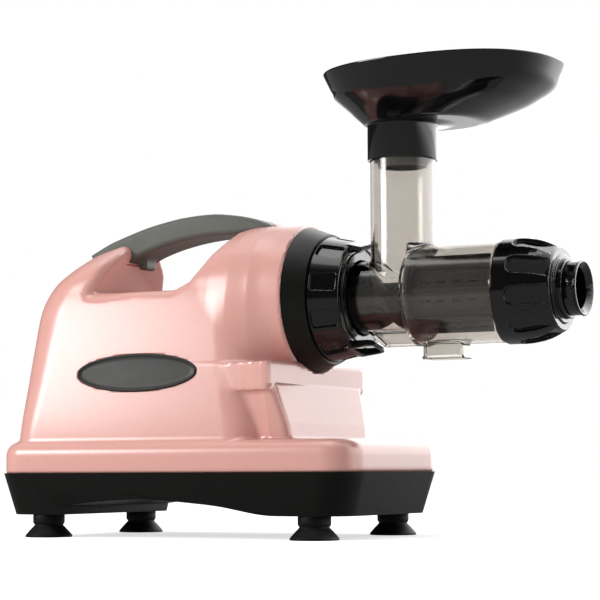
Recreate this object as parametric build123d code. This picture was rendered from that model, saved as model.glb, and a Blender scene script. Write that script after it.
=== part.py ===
"""Cold press juicer: a horizontal auger juicer with a geared induction motor.

Millimetres, +Z up.  The origin is the middle of the overall footprint on the standing
surface, +X runs along the juicing drum towards the pulp outlet, and -Y is the side that
carries the oval plate.
"""
import os
from math import acos, atan2, copysign, cos, degrees, pi, radians, sin, sqrt, tan

from build123d import *

os.makedirs("parts", exist_ok=True)

# ---------------------------------------------------------------- clearances and walls
SHAFT_CLEARANCE = 0.05          # radial, shafts and pins in their bushings
TURN_CLEARANCE = 0.3            # between pieces that turn on each other
SEAT_GAP = 0.3                  # axial gap between a turning piece and its seat
WALL = 3.0                      # moulded housing and base
CUT_THROUGH = 1.0               # how far a cutting body runs past a face

# ---------------------------------------------------------------- lengths along X
COLLAR_SETBACK = 235.4          # rear edge of the base to the front of the neck
COLLAR_DEPTH = 16.6             # fixed collar
HUB_LENGTH = 10.3               # bayonet hub in front of the collar
NECK_TUBE_LENGTH = 58.7         # narrow drum tube, from its flange to the shoulder
CHAMBER_LENGTH = 71.0           # wide drum chamber round the screen
CAP_LENGTH = 41.6               # fluted end cap
NOZZLE_REACH = 15.7             # stepped neck and outlet in front of the cap
OVERALL_LENGTH = (COLLAR_SETBACK + COLLAR_DEPTH + HUB_LENGTH + NECK_TUBE_LENGTH
                  + CHAMBER_LENGTH + CAP_LENGTH + NOZZLE_REACH)

REAR = -OVERALL_LENGTH / 2
NECK_FRONT = REAR + COLLAR_SETBACK
HUB_START = NECK_FRONT + COLLAR_DEPTH
FLANGE_START = HUB_START + HUB_LENGTH
SHOULDER = FLANGE_START + NECK_TUBE_LENGTH
CHAMBER_END = SHOULDER + CHAMBER_LENGTH
CAP_FRONT = CHAMBER_END + CAP_LENGTH
OUTLET_TIP = CAP_FRONT + NOZZLE_REACH

# ---------------------------------------------------------------- feet and base
FOOT_HEIGHT = 17.0
FOOT_CUP_RADIUS = 17.9
FOOT_CUP_HEIGHT = 9.0
FOOT_STEM_RADIUS = 12.0
FOOT_HOLLOW = 2.4               # height of the suction hollow
FOOT_INSET_REAR = 41.7
FOOT_INSET_FRONT = 36.6
FOOT_INSET_SIDE = 16.5
FOOT_SCREW_RADIUS = 2.5
FOOT_SCREW_LENGTH = 9.0
FOOT_SCREW_HEAD = 2.5

BASE_LENGTH = 305.0
BASE_WIDTH = 165.0
BASE_HEIGHT = 31.3
BASE_CORNER = 24.0
BASE_TAPER_ENDS = 8.5           # how far the base draws in towards its bottom
BASE_TAPER_SIDES = 4.5
ARCH_RISE = 11.5
ARCH_START = 58.0
ARCH_END = 244.0

BASE_BOTTOM = FOOT_HEIGHT
SEAM = BASE_BOTTOM + BASE_HEIGHT
FOOT_SPREAD = BASE_WIDTH / 2 - FOOT_INSET_SIDE

VENT_COUNT = 8
VENT_PITCH = 9.0
VENT_WIDTH = 4.0
VENT_LENGTH = 36.0
BRACKET_FLOOR = SEAM - 12.0
HOUSING_POST_STATIONS = (30.0, 245.0)
HOUSING_POST_INSET = 11.0
HOUSING_POST_SIDE = BASE_WIDTH / 2 - HOUSING_POST_INSET
HOUSING_POST_RADIUS = 6.0
HOUSING_SCREW_RADIUS = 2.2
HOUSING_SCREW_HEAD = 2.5
HOUSING_SCREW_BITE = 16.0       # how far each screw runs up past the seam
SCREW_SEAT = BASE_BOTTOM + 8.0

# ---------------------------------------------------------------- upper housing
FLANGE_BAND_HEIGHT = 23.7
FLANGE_BAND_INSET = 1.2
FLANGE_BAND_ROUNDING = 10.5
BAND_TOP = SEAM + FLANGE_BAND_HEIGHT
BODY_REAR = REAR + 9.0
BODY_FRONT = REAR + 224.0
BODY_HALF_WIDTH = 76.5
CROWN = 232.5                   # highest point of the pink shell
NECK_RADIUS = 56.5
NECK_SWELL = 14.0               # how much narrower the neck is where it starts
NECK_SWELL_START = 62.0
NECK_STRAIGHT = 26.0
DRUM_AXIS = 176.7               # height of the output shaft and the drum

BIB_HALF_WIDTH = 79.0
BIB_TOP = 128.0
BIB_CREASE = 107.5
BIB_LIP_REACH = 3.4             # how far the bib's lip stands in front of the neck
BIB_EDGE = 3.0                  # bevel of its front corners

# each body section: height, rear set-in, front set-in, share of the width, corner radius
BODY_SECTIONS = (
    (0.000, 0.0, 0.0, 1.000, 24.0),
    (0.090, 0.0, 0.0, 0.987, 25.0),
    (0.363, 0.0, 1.0, 0.902, 34.0),
    (0.618, 0.0, 2.0, 0.784, 40.0),
    (0.731, 4.0, 2.0, 0.719, 42.0),
    (0.810, 14.0, 2.0, 0.660, 42.0),
    (0.873, 29.0, 3.0, 0.565, 38.0),
    (0.918, 42.0, 5.0, 0.428, 30.0),
    (0.958, 62.0, 10.0, 0.282, 20.0),
    (1.000, 88.0, 19.0, 0.118, 8.0),
)
BODY_BOTTOM = SEAM + 8.0
# each bib section below the lip: height, reach in front of the neck, half width
BIB_SECTIONS = (
    (BIB_CREASE + 4, 4.0, BIB_HALF_WIDTH - 6.0),
    (BIB_CREASE - 10, 7.8, BIB_HALF_WIDTH - 8.0),
    (BIB_CREASE - 24, 11.6, BIB_HALF_WIDTH - 11.5),
    (BODY_BOTTOM + 4, 15.0, BIB_HALF_WIDTH - 14.5),
)
# how the sides flare: station behind the neck's front, and how much narrower the bib is there
BIB_FLARE = ((-75.0, 13.0), (-45.0, 11.0), (-25.0, 7.5), (-10.0, 3.0))

# ---------------------------------------------------------------- handle
HANDLE_HALF_WIDTH = 18.0
HANDLE_TOP = ((46, 219.0), (63, 227.0), (77, 231.8), (96, 237.5), (114, 241.4), (132, 244.1),
              (155, 245.3), (177, 243.0), (192, 239.8), (203, 236.0), (211, 232.4))
HANDLE_UNDERSIDE = ((206, 229.6), (196, 228.8), (182, 228.6), (160, 228.6), (143, 227.6),
                    (127, 225.4), (111, 222.0), (96, 217.4), (82, 211.6), (66, 209.0), (50, 210.0))
HANDLE_SEAT_CLEARANCE = 0.3
OPENING_REAR = 71.0
OPENING_FRONT = 156.0
OPENING_FLOOR = 185.0
OPENING_TOP = 262.0
OPENING_LEAN = 21.0             # how far the front wall leans forward
OPENING_REAR_LEAN = 14.0        # how far the rear wall leans forward
OPENING_ROUNDING = 9.0
HANDLE_SCREW_RADIUS = 2.0
HANDLE_SCREWS = ((54.0, 205.6), (194.0, 225.1))   # station and height of each head's seat
HANDLE_SCREW_LENGTH = 11.0
HANDLE_SCREW_HEAD = 2.4
HANDLE_TAIL_SPAN = (85.0, 92.0)   # small tail under the grip, behind the fingers
HANDLE_TAIL_RISE = (206.0, 216.5)
HANDLE_TAIL_HALF_WIDTH = 8.0

# ---------------------------------------------------------------- oval plate
PLATE_LENGTH = 103.5
PLATE_HEIGHT = 27.6
PLATE_THICKNESS = 2.0
PLATE_BLUNT = 0.12              # angle cut off each end of the oval, radians
PLATE_STATION = 121.0
PLATE_CENTRE_HEIGHT = 122.5
PLATE_TILT = 9.6
PLATE_DEPTH = 67.9              # distance of the plate's back from the middle plane

# ---------------------------------------------------------------- switch and cord inlet
SWITCH_SEAT = BODY_REAR + 0.6
SWITCH_WIDTH = 22.0
SWITCH_HEIGHT = 30.0
SWITCH_BEZEL = 2.5
SWITCH_DEPTH = 16.0
SWITCH_CENTRE_HEIGHT = 112.0
BEZEL_RIM = 3.0
ROCKER_PIVOT = 8.6              # pivot behind the bezel's face
ROCKER_PIN_RADIUS = 1.5
ROCKER_DISH = 2.2
GLAND_RADIUS = 8.0
GLAND_BORE = 3.6
GLAND_HEIGHT = 84.0
GLAND_SIDE = 30.0
GLAND_NUT = BODY_REAR + 6.7      # rear face of the nut inside the wall

# ---------------------------------------------------------------- motor
MOTOR_AXIS = 128.0
MOTOR_START = REAR + 55.0
STATOR_RADIUS = 41.5
STATOR_BORE = 24.3
STATOR_LENGTH = 40.0
AIR_GAP = 0.3
BELL_DEPTH_REAR = 17.0
BELL_DEPTH_FRONT = 25.0
BELL_WALL = 3.0
WINDING_INNER = 26.5
WINDING_OUTER = 33.3
WINDING_LENGTH = 11.0
BOLT_CIRCLE = 36.0
MOTOR_BOLT_RADIUS = 1.9
SHAFT_RADIUS = 5.0
SHAFT_NOSE_RADIUS = 3.0
BUSHING_RADIUS = 9.0
BUSHING_LENGTH = 10.0
FAN_RADIUS = 34.0
FAN_BLADES = 9
FAN_WIDTH = 15.0
BRACKET_SHEET = 3.0
BRACKET_HALF_WIDTH = 34.0
BRACKET_POST_RADIUS = 6.0
BRACKET_SCREW_RADIUS = 2.2

STATOR_START = MOTOR_START + BELL_DEPTH_REAR
STATOR_END = STATOR_START + STATOR_LENGTH
MOTOR_END = STATOR_END + BELL_DEPTH_FRONT

CAPACITOR_RADIUS = 15.0
CAPACITOR_LENGTH = 50.0
CAPACITOR_PAD = ((MOTOR_END + 25.0, MOTOR_END + 49.0), (-48.0, -24.0))
TERMINAL_PAD = ((MOTOR_END + 21.0, MOTOR_END + 53.0), (26.0, 48.0))

# ---------------------------------------------------------------- gear train
PRESSURE_ANGLE = 25.0
BACKLASH = 0.18                 # thinning of each tooth at its pitch circle
PINION_TEETH = 12
FIRST_GEAR_TEETH = 54
FIRST_MODULE = 1.0
SECOND_PINION_TEETH = 11
OUTPUT_GEAR_TEETH = 52
SECOND_MODULE = 1.25
FIRST_CENTRES = FIRST_MODULE * (PINION_TEETH + FIRST_GEAR_TEETH) / 2
SECOND_CENTRES = SECOND_MODULE * (SECOND_PINION_TEETH + OUTPUT_GEAR_TEETH) / 2
SHAFT_OFFSET = DRUM_AXIS - MOTOR_AXIS
IDLER_RISE = (FIRST_CENTRES**2 - SECOND_CENTRES**2 + SHAFT_OFFSET**2) / (2 * SHAFT_OFFSET)
IDLER_SIDE = sqrt(FIRST_CENTRES**2 - IDLER_RISE**2)
IDLER_HEIGHT = MOTOR_AXIS + IDLER_RISE
IDLER_PIN_RADIUS = 4.0
CLUSTER_HUB_RADIUS = 7.0

CASE_WALL = 3.0
CASE_FRONT = NECK_FRONT - 27.4
CASE_SPLIT = CASE_FRONT - 27.0
PLATE_REAR = CASE_SPLIT - 3.5
CASE_REAR = CASE_SPLIT - 21.0
CASE_TIP_CLEARANCE = 1.5
OUTPUT_GEAR_WIDTH = 14.0
FIRST_GEAR_WIDTH = 10.0
OUTPUT_SHAFT_RADIUS = 9.0
OUTPUT_BEARING_RADIUS = 16.0
BEARING_WIDTH = 8.0
CASE_NOSE_RADIUS = 22.0
CASE_LUG_RADIUS = 5.0
CASE_SCREW_RADIUS = 1.8
CASE_PILLAR_RADIUS = 5.0
PILLAR_CIRCLE = 40.0
COLLAR_SCREW_RADIUS = 2.0
DRIVE_HEX = 13.0                # across flats

# ---------------------------------------------------------------- collar, ring and drum
COLLAR_BACK_RADIUS = 54.6
COLLAR_FRONT_RADIUS = 48.5
HUB_RADIUS = 37.0
SPIGOT_RADIUS = 31.5
SPIGOT_LENGTH = 15.0
LUG_HEIGHT = 2.5
LUG_WIDTH = 4.0
LUG_ANGLE = 18.0
LUG_COUNT = 3
BAYONET_TURN = 45.0

RING_BACK_RADIUS = 47.0
RING_FRONT_RADIUS = 42.0
RING_LENGTH = 23.7
RING_WINDOWS = 10
WINDOW_PHASE = 5.0              # degrees
WINDOW_MARGIN = 2.25            # between a window and the ring's faces
WINDOW_WIDTH = 13.0
WINDOW_DEPTH = 2.6
LEVER_WIDTH = 26.0
LEVER_THICKNESS = 7.0
LEVER_REACH_TOP = 8.0
LEVER_REACH_BOTTOM = 17.5
LEVER_ANGLE = 12.0              # both levers, turned from the vertical towards -Y

DRUM_WALL = 2.3
AUGER_TUBE_RADIUS = 27.0
DRUM_FLANGE_WIDTH = 5.4
CHAMBER_RADIUS = 37.0
CHAMBER_SHOULDER = 3.0
CHUTE_STATION = 47.3            # chute axis in front of the drum flange
CHUTE_RADIUS = 24.3
CHUTE_WALL = 2.6
CHUTE_FOOT = DRUM_AXIS + CHAMBER_RADIUS + 0.8   # the upright tube is made from here up
CHUTE_TOP = 302.0
SPOUT_LENGTH = 33.0
SPOUT_WIDTH = 24.0
SPOUT_CORNER = 4.0
SPOUT_WALL = 1.8
SPOUT_START = 6.0               # in front of the shoulder
SPOUT_BOTTOM = 129.5
SPOUT_LIP = 1.0                 # thickness and overhang of the spout's lip
TROUGH_START = 22.0             # in front of the drum flange
TROUGH_BOTTOM = 139.0
TROUGH_RAMP = (13.0, 11.0)      # length and height of its sloping rear end
TROUGH_WIDTH = 18.0
TROUGH_ROOT = 20.0              # how far below the drum's axis it joins the tube
CAP_SPIGOT_LENGTH = 7.0
CAP_SPIGOT_RADIUS = 34.9
CAP_LUG_HEIGHT = 1.4
CAP_LUG_WIDTH = 2.4
CAP_TURN = 40.0

# ---------------------------------------------------------------- auger and screen
AUGER_RADIUS = 24.2
AUGER_CORE = 10.5
AUGER_FLIGHT = 10.0
AUGER_LEAD = 66.0
AUGER_JOURNAL = 12.0
AUGER_OVERRUN = 5.5             # past the drum's front edge
SCREEN_WALL = 0.8
SCREEN_RIB = 2.7
SCREEN_RIBS = 8
SCREEN_SLOTS = 12
SLOT_ROWS = 5
SLOT_WIDTH = 1.6
SLOT_LENGTH = 7.0

# ---------------------------------------------------------------- end cap and outlet
CAP_RADIUS = 38.3
CAP_MIDDLE_RADIUS = 36.6
CAP_FRONT_RADIUS = 29.3
CAP_NOSE = 4.0                  # length of the rounded edge in front, and its drop in radius
CAP_NOSE_DROP = 2.6
CAP_FLUTES = 10
FLUTE_WIDTH = 13.0
FLUTE_DEPTH = 2.2
CAP_STRAIGHT = 12.0             # rear part of the cap that doesn't narrow
CAP_BEND = 26.0                 # where the cap starts to narrow quickly
FLUTE_PHASE = 28.0              # degrees
FLUTE_SETBACK = 11.0            # rear end of each flute in front of the cap's edge
NECK_STEPS = ((24.5, 1.2), (21.4, 5.8))   # radius and length of each step in front of the cap
OUTLET_RADIUS = 17.3            # inside the cap
OUTLET_BORE = 14.5
OUTLET_TUBE_RADIUS = 19.4       # in front of the cap
OUTLET_RIM_RADIUS = 20.0
OUTLET_RIM_WIDTH = 2.0
OUTLET_FLARE = 4.0              # depth of the flared mouth
OUTLET_INSERTION = 18.0
GUIDE_GROOVE_RADIUS = 18.6

# ---------------------------------------------------------------- hopper tray
TRAY_RIM = 341.3
TRAY_HALF_LENGTH = 90.5
TRAY_HALF_WIDTH = 70.8
TRAY_OFFSET = 33.0              # rim's centre in front of the chute axis
TRAY_EGG = 0.09                 # how much wider the front end is than the rear end
TRAY_POWER = 2.35
TRAY_POINTS = 36
TRAY_SIDE_SHARE = 0.78          # how much of each inset the sides draw in
# each bowl section from the rim down: inset at the ends, depth, shift towards the chute
TRAY_SECTIONS = (
    (0.0, 0.0, 0.0),
    (3.6, 7.4, 0.0),
    (7.0, 13.8, 0.0),
    (10.5, 18.5, 1.5),
    (16.5, 22.8, 3.0),
    (23.7, 27.5, 4.7),
    (34.0, 33.0, 9.5),
    (44.6, 38.1, 14.6),
)
TRAY_WALL = 2.2
TRAY_FLOOR_LIFT = 2.0           # thickness of the bowl's wall, measured upright
TRAY_COLLAR_RADIUS = 26.1
TRAY_COLLAR_BOTTOM = 277.0
THROAT_RADIUS = 18.6
THROAT_BOTTOM = 272.0
THROAT_WALL = 1.8

parts = {}


# ================================================================ small helpers
def rod_x(radius, start, end, y=0.0, z=0.0):
    """Round bar along X."""
    return Pos((start + end) / 2, y, z) * Rot(0, 90, 0) * Cylinder(radius, end - start)


def ring_x(outer, inner, start, end, y=0.0, z=0.0):
    """Round tube along X."""
    return rod_x(outer, start, end, y, z) - rod_x(inner, start - CUT_THROUGH, end + CUT_THROUGH, y, z)


def rod_z(radius, bottom, top, x=0.0, y=0.0):
    """Round bar along Z."""
    return Pos(x, y, (bottom + top) / 2) * Cylinder(radius, top - bottom)


def block(x_span, y_span, z_span):
    """Box between two corners."""
    sizes = [high - low for low, high in (x_span, y_span, z_span)]
    middle = [(high + low) / 2 for low, high in (x_span, y_span, z_span)]
    return Pos(*middle) * Box(*sizes)


def prism_y(outline, low, high):
    """Closed outline of (x, z) points, between two values of Y."""
    face = make_face(Polyline(*[(x, low, z) for x, z in outline], close=True))
    return extrude(face, amount=high - low, dir=(0, 1, 0))


def prism_x(outline, low, high):
    """Closed outline of (y, z) points, between two values of X."""
    face = make_face(Polyline(*[(low, y, z) for y, z in outline], close=True))
    return extrude(face, amount=high - low, dir=(1, 0, 0))


def turned_x(profile, z=0.0):
    """Profile of (x, radius) points turned about the X axis and lifted to z."""
    face = make_face(Polyline(*[(x, 0, r) for x, r in profile], close=True))
    return Pos(0, 0, z) * revolve(face, Axis.X, 360)


def turned_z(profile, x=0.0, y=0.0):
    """Profile of (radius, z) points turned about a vertical axis at (x, y)."""
    face = make_face(Polyline(*[(r, 0, z) for r, z in profile], close=True))
    return Pos(x, y, 0) * revolve(face, Axis.Z, 360)


def group(shapes):
    """Several separate solids that share one node."""
    return Compound([solid for shape in shapes for solid in shape.solids()])


def rounded_section(x_low, x_high, half_width, corner, height):
    """Rounded rectangle in plan, centred on the middle plane."""
    corner = min(corner, half_width - 0.5, (x_high - x_low) / 2 - 0.5)
    plan = RectangleRounded(x_high - x_low, 2 * half_width, corner)
    return Pos((x_low + x_high) / 2, 0, height) * plan


def screw_z(radius, head_height, top, length, x, y):
    """Pan-head screw whose head sits above `top` and whose shank runs down."""
    head = rod_z(radius * 1.9, top, top + head_height, x, y)
    return head + rod_z(radius, top - length, top, x, y)


# ================================================================ feet and base
FEET = {
    "suction_foot_rear_right": (REAR + FOOT_INSET_REAR, -FOOT_SPREAD),
    "suction_foot_rear_left": (REAR + FOOT_INSET_REAR, FOOT_SPREAD),
    "suction_foot_front_right": (REAR + BASE_LENGTH - FOOT_INSET_FRONT, -FOOT_SPREAD),
    "suction_foot_front_left": (REAR + BASE_LENGTH - FOOT_INSET_FRONT, FOOT_SPREAD),
}


def suction_foot(x, y):
    cup = turned_z([(0, FOOT_HOLLOW), (FOOT_CUP_RADIUS - 3.5, 0), (FOOT_CUP_RADIUS, 0),
                    (FOOT_CUP_RADIUS - 0.6, 2.2), (FOOT_STEM_RADIUS - 1.2, FOOT_CUP_HEIGHT),
                    (FOOT_STEM_RADIUS, FOOT_CUP_HEIGHT + 2.5), (FOOT_STEM_RADIUS, FOOT_HEIGHT),
                    (0, FOOT_HEIGHT)], x, y)
    return cup - rod_z(FOOT_SCREW_RADIUS, FOOT_HEIGHT - FOOT_SCREW_LENGTH,
                       FOOT_HEIGHT + CUT_THROUGH, x, y)


def arch(extra=0.0):
    """Shallow arch that runs through the base from side to side."""
    low = REAR + ARCH_START - extra
    high = REAR + ARCH_END + extra
    span = high - low
    top = BASE_BOTTOM + ARCH_RISE + extra
    side = [(low, BASE_BOTTOM - 5), (low + 2, BASE_BOTTOM + 0.55 * ARCH_RISE + extra),
            (low + 0.25 * span, top - 0.8), (low + 0.45 * span, top), (low + 0.6 * span, top - 2.0),
            (low + 0.78 * span, BASE_BOTTOM + 0.5 * ARCH_RISE + extra),
            (low + 0.9 * span, BASE_BOTTOM + 0.14 * ARCH_RISE + extra), (high, BASE_BOTTOM + extra)]
    crown = Spline(*[(x, 0, z) for x, z in side[1:]])
    legs = Polyline((side[-1][0], 0, side[-1][1]), (high, 0, BASE_BOTTOM - 5),
                    (side[0][0], 0, side[0][1]), (side[1][0], 0, side[1][1]))
    return extrude(make_face(crown + legs), amount=BASE_WIDTH, dir=(0, 1, 0), both=True)


def base_form(inset, bottom, top):
    """Tapered base block, drawn in by `inset` all round."""
    rows = []
    for height in (bottom, top):
        share = (SEAM - height) / BASE_HEIGHT
        ends = inset + BASE_TAPER_ENDS * share
        sides = inset + BASE_TAPER_SIDES * share
        rows.append(rounded_section(REAR + ends, REAR + BASE_LENGTH - ends,
                                    BASE_WIDTH / 2 - sides, BASE_CORNER - inset, height))
    return loft(rows, ruled=True)


POST_PLACES = [(x, y) for x in (MOTOR_START + 14, MOTOR_END - 14)
               for y in (6 - BRACKET_HALF_WIDTH, BRACKET_HALF_WIDTH - 6)]
HOUSING_POSTS = [(REAR + x, y) for x in HOUSING_POST_STATIONS
                 for y in (-HOUSING_POST_SIDE, HOUSING_POST_SIDE)]
PILLAR_PLACES = [(PILLAR_CIRCLE * cos(radians(a)), DRUM_AXIS + PILLAR_CIRCLE * sin(radians(a)))
                 for a in (45, 135, 225, 315)]

base = base_form(0, BASE_BOTTOM, SEAM)
base -= base_form(WALL, BASE_BOTTOM + WALL, SEAM + CUT_THROUGH) - arch(WALL)
for x, y in POST_PLACES:
    base += rod_z(BRACKET_POST_RADIUS, BASE_BOTTOM, BRACKET_FLOOR, x, y)
for x, y in HOUSING_POSTS:
    base += rod_z(HOUSING_POST_RADIUS, BASE_BOTTOM, SEAM, x, y)
for x_span, y_span in (CAPACITOR_PAD, TERMINAL_PAD):
    base += block(x_span, y_span, (BASE_BOTTOM, BRACKET_FLOOR))
base -= arch()
for x, y in POST_PLACES:
    base -= rod_z(BRACKET_SCREW_RADIUS, BRACKET_FLOOR - 7, BRACKET_FLOOR + CUT_THROUGH, x, y)
for x, y in HOUSING_POSTS:
    base -= rod_z(HOUSING_SCREW_RADIUS, BASE_BOTTOM - CUT_THROUGH, SEAM + CUT_THROUGH, x, y)
    base -= rod_z(HOUSING_SCREW_RADIUS * 2, BASE_BOTTOM - CUT_THROUGH, SCREW_SEAT, x, y)
for x, y in FEET.values():
    base -= rod_z(FOOT_SCREW_RADIUS, BASE_BOTTOM - CUT_THROUGH, BASE_BOTTOM + WALL + CUT_THROUGH, x, y)
for index in range(VENT_COUNT):
    slot = SlotOverall(VENT_LENGTH, VENT_WIDTH, rotation=90)
    place = Pos(MOTOR_START + 26 + index * VENT_PITCH, 0, BASE_BOTTOM - CUT_THROUGH)
    base -= extrude(place * slot, amount=ARCH_RISE + 2 * WALL)
parts["lower_base"] = base
parts["housing_screws"] = group(
    [rod_z(HOUSING_SCREW_RADIUS * 1.8, SCREW_SEAT - HOUSING_SCREW_HEAD, SCREW_SEAT, x, y)
     + rod_z(HOUSING_SCREW_RADIUS, SCREW_SEAT, SEAM + HOUSING_SCREW_BITE, x, y)
     for x, y in HOUSING_POSTS])

for name, (x, y) in FEET.items():
    parts[name] = suction_foot(x, y)
parts["foot_screws"] = group(
    [screw_z(FOOT_SCREW_RADIUS, FOOT_SCREW_HEAD, BASE_BOTTOM + WALL, WALL + FOOT_SCREW_LENGTH, x, y)
     for x, y in FEET.values()])


# ================================================================ upper housing
def body_form(inset):
    """Tapered and crowned body, drawn in by `inset` all round."""
    rows = []
    for share, rear, front, width, corner in BODY_SECTIONS:
        height = BODY_BOTTOM + share * (CROWN - BODY_BOTTOM) - (inset if share > 0.7 else 0)
        rows.append(rounded_section(BODY_REAR + rear + inset, BODY_FRONT - front - inset,
                                    BODY_HALF_WIDTH * width - inset, corner - inset, height))
    return loft(rows)


def neck_form(inset):
    """Round neck that swells out of the body towards the collar."""
    radius = NECK_RADIUS - inset
    start = NECK_FRONT - NECK_SWELL_START
    return turned_x([(start, 0), (start, radius - NECK_SWELL), (NECK_FRONT - NECK_STRAIGHT, radius),
                     (NECK_FRONT - inset, radius), (NECK_FRONT - inset, 0)], DRUM_AXIS)


def bib_plan(half_width, reach, height):
    """Plan of the pedestal at one height: it flares from the body out to its front face."""
    side = [(NECK_FRONT + x, half_width - narrowing) for x, narrowing in BIB_FLARE]
    side += [(NECK_FRONT + reach - BIB_EDGE, half_width), (NECK_FRONT + reach, half_width - BIB_EDGE)]
    outline = side + [(x, -y) for x, y in reversed(side)]
    return make_face(Polyline(*[(x, y, height) for x, y in outline], close=True))


def bib_form():
    """Shouldered pedestal under the neck."""
    lip = extrude(bib_plan(BIB_HALF_WIDTH, BIB_LIP_REACH, BIB_CREASE), amount=BIB_TOP - BIB_CREASE)
    rows = [bib_plan(half_width, reach, height) for height, reach, half_width in BIB_SECTIONS]
    return lip + loft(rows, ruled=True)


def flange_form(inset, top):
    plan = rounded_section(REAR + FLANGE_BAND_INSET + inset,
                           REAR + BASE_LENGTH - FLANGE_BAND_INSET - inset,
                           BASE_WIDTH / 2 - FLANGE_BAND_INSET - inset, BASE_CORNER - inset, SEAM)
    band = extrude(plan, amount=top - SEAM)
    rim = band.edges().group_by(Axis.Z)[-1]
    return fillet(rim, FLANGE_BAND_ROUNDING - inset)


def opening_form(extra):
    """Finger opening under the handle, cut right through from side to side."""
    rear = REAR + OPENING_REAR - extra
    front = REAR + OPENING_FRONT + extra
    floor = OPENING_FLOOR - extra
    outline = [(rear + OPENING_REAR_LEAN, OPENING_TOP), (rear + OPENING_REAR_LEAN, floor + 31),
               (rear, floor + 1), (rear + 14, floor), (front - 12, floor),
               (front, floor + 6), (front + 0.45 * OPENING_LEAN, floor + 19),
               (front + OPENING_LEAN, floor + 43), (front + OPENING_LEAN, OPENING_TOP)]
    path = FilletPolyline(*[(x, 0, z) for x, z in outline], radius=OPENING_ROUNDING / 2, close=True)
    return extrude(make_face(path), amount=BASE_WIDTH, dir=(0, 1, 0), both=True)


def handle_band(half_width, grow=0.0):
    """Arched strip between the handle's top line and its underside."""
    top = Spline(*[(REAR + x, 0, z) for x, z in HANDLE_TOP])
    under = Spline(*[(REAR + x, 0, z - grow) for x, z in HANDLE_UNDERSIDE])
    front = Line(top @ 1, under @ 0)
    rear = Line(under @ 1, top @ 0)
    return extrude(make_face(top + front + under + rear), amount=half_width, dir=(0, 1, 0), both=True)


plate_plane = Plane(origin=(REAR + PLATE_STATION, -PLATE_DEPTH, PLATE_CENTRE_HEIGHT),
                    x_dir=(1, 0, 0),
                    z_dir=(0, -cos(radians(PLATE_TILT)), sin(radians(PLATE_TILT))))


def plate_outline(grow=0.0):
    """Long oval with blunt ends."""
    half_length = PLATE_LENGTH / 2 + grow
    half_height = PLATE_HEIGHT / 2 + grow
    points = [(half_length * cos(t), half_height * sin(t))
              for t in [PLATE_BLUNT + k * (pi - 2 * PLATE_BLUNT) / 12 for k in range(13)]]
    upper = Spline(*points)
    lower = Spline(*[(-x, -y) for x, y in points])
    ends = [Line(upper @ 1, lower @ 0), Line(lower @ 1, upper @ 0)]
    return make_face(upper + lower + ends)


def oval(thickness, grow=0.0, start=0.0):
    return extrude(plate_plane * Pos(0, 0, start) * plate_outline(grow), amount=thickness)


housing = body_form(0) + neck_form(0) + bib_form() + flange_form(0, BAND_TOP)
cavity = body_form(WALL) + neck_form(WALL)
cavity += flange_form(WALL, BAND_TOP - WALL)
cavity += Pos(0, 0, -CUT_THROUGH) * extrude(
    rounded_section(REAR + FLANGE_BAND_INSET + WALL, REAR + BASE_LENGTH - FLANGE_BAND_INSET - WALL,
                    BASE_WIDTH / 2 - FLANGE_BAND_INSET - WALL, BASE_CORNER - WALL, SEAM), amount=10)
cavity -= opening_form(WALL)
cavity -= handle_band(HANDLE_HALF_WIDTH + WALL, WALL + HANDLE_SEAT_CLEARANCE)
cavity -= oval(12, WALL, -6)
housing -= cavity
housing -= opening_form(0)
housing -= handle_band(HANDLE_HALF_WIDTH + HANDLE_SEAT_CLEARANCE, HANDLE_SEAT_CLEARANCE)
housing -= oval(12, 0.3)
housing -= rod_x(CASE_NOSE_RADIUS + 1.0, NECK_FRONT - 10, NECK_FRONT + CUT_THROUGH, 0, DRUM_AXIS)
housing -= rod_x(COLLAR_BACK_RADIUS + 0.3, NECK_FRONT, NECK_FRONT + 20, 0, DRUM_AXIS)
for x, y in HOUSING_POSTS:
    housing += rod_z(HOUSING_POST_RADIUS, SEAM, BAND_TOP - WALL + 0.5, x, y)
    housing -= rod_z(HOUSING_SCREW_RADIUS, SEAM - CUT_THROUGH, SEAM + HOUSING_SCREW_BITE + 1, x, y)
for y, z in PILLAR_PLACES:
    housing -= rod_x(COLLAR_SCREW_RADIUS, NECK_FRONT - 10, NECK_FRONT + CUT_THROUGH, y, z)
seat_width = SWITCH_WIDTH / 2 + BEZEL_RIM
seat_height = SWITCH_HEIGHT / 2 + BEZEL_RIM
housing -= block((REAR - 5, SWITCH_SEAT), (-seat_width - 0.2, seat_width + 0.2),
                 (SWITCH_CENTRE_HEIGHT - seat_height - 0.2, SWITCH_CENTRE_HEIGHT + seat_height + 0.2))
housing -= block((REAR - 5, SWITCH_SEAT + 10), (-SWITCH_WIDTH / 2, SWITCH_WIDTH / 2),
                 (SWITCH_CENTRE_HEIGHT - SWITCH_HEIGHT / 2, SWITCH_CENTRE_HEIGHT + SWITCH_HEIGHT / 2))
housing -= rod_x(GLAND_RADIUS, REAR - 5, BODY_REAR + 10, GLAND_SIDE, GLAND_HEIGHT)
housing -= rod_x(GLAND_RADIUS + 3, REAR - 5, SWITCH_SEAT, GLAND_SIDE, GLAND_HEIGHT)
for station, seat in HANDLE_SCREWS:
    housing -= rod_z(HANDLE_SCREW_RADIUS, seat - 2, seat + HANDLE_SCREW_LENGTH, REAR + station)
parts["upper_housing"] = housing
handle = handle_band(HANDLE_HALF_WIDTH)
handle += block([REAR + station for station in HANDLE_TAIL_SPAN],
                (-HANDLE_TAIL_HALF_WIDTH, HANDLE_TAIL_HALF_WIDTH), HANDLE_TAIL_RISE)
for station, seat in HANDLE_SCREWS:
    handle -= rod_z(HANDLE_SCREW_RADIUS, seat, seat + HANDLE_SCREW_LENGTH, REAR + station)
parts["handle_grip"] = handle
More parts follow.
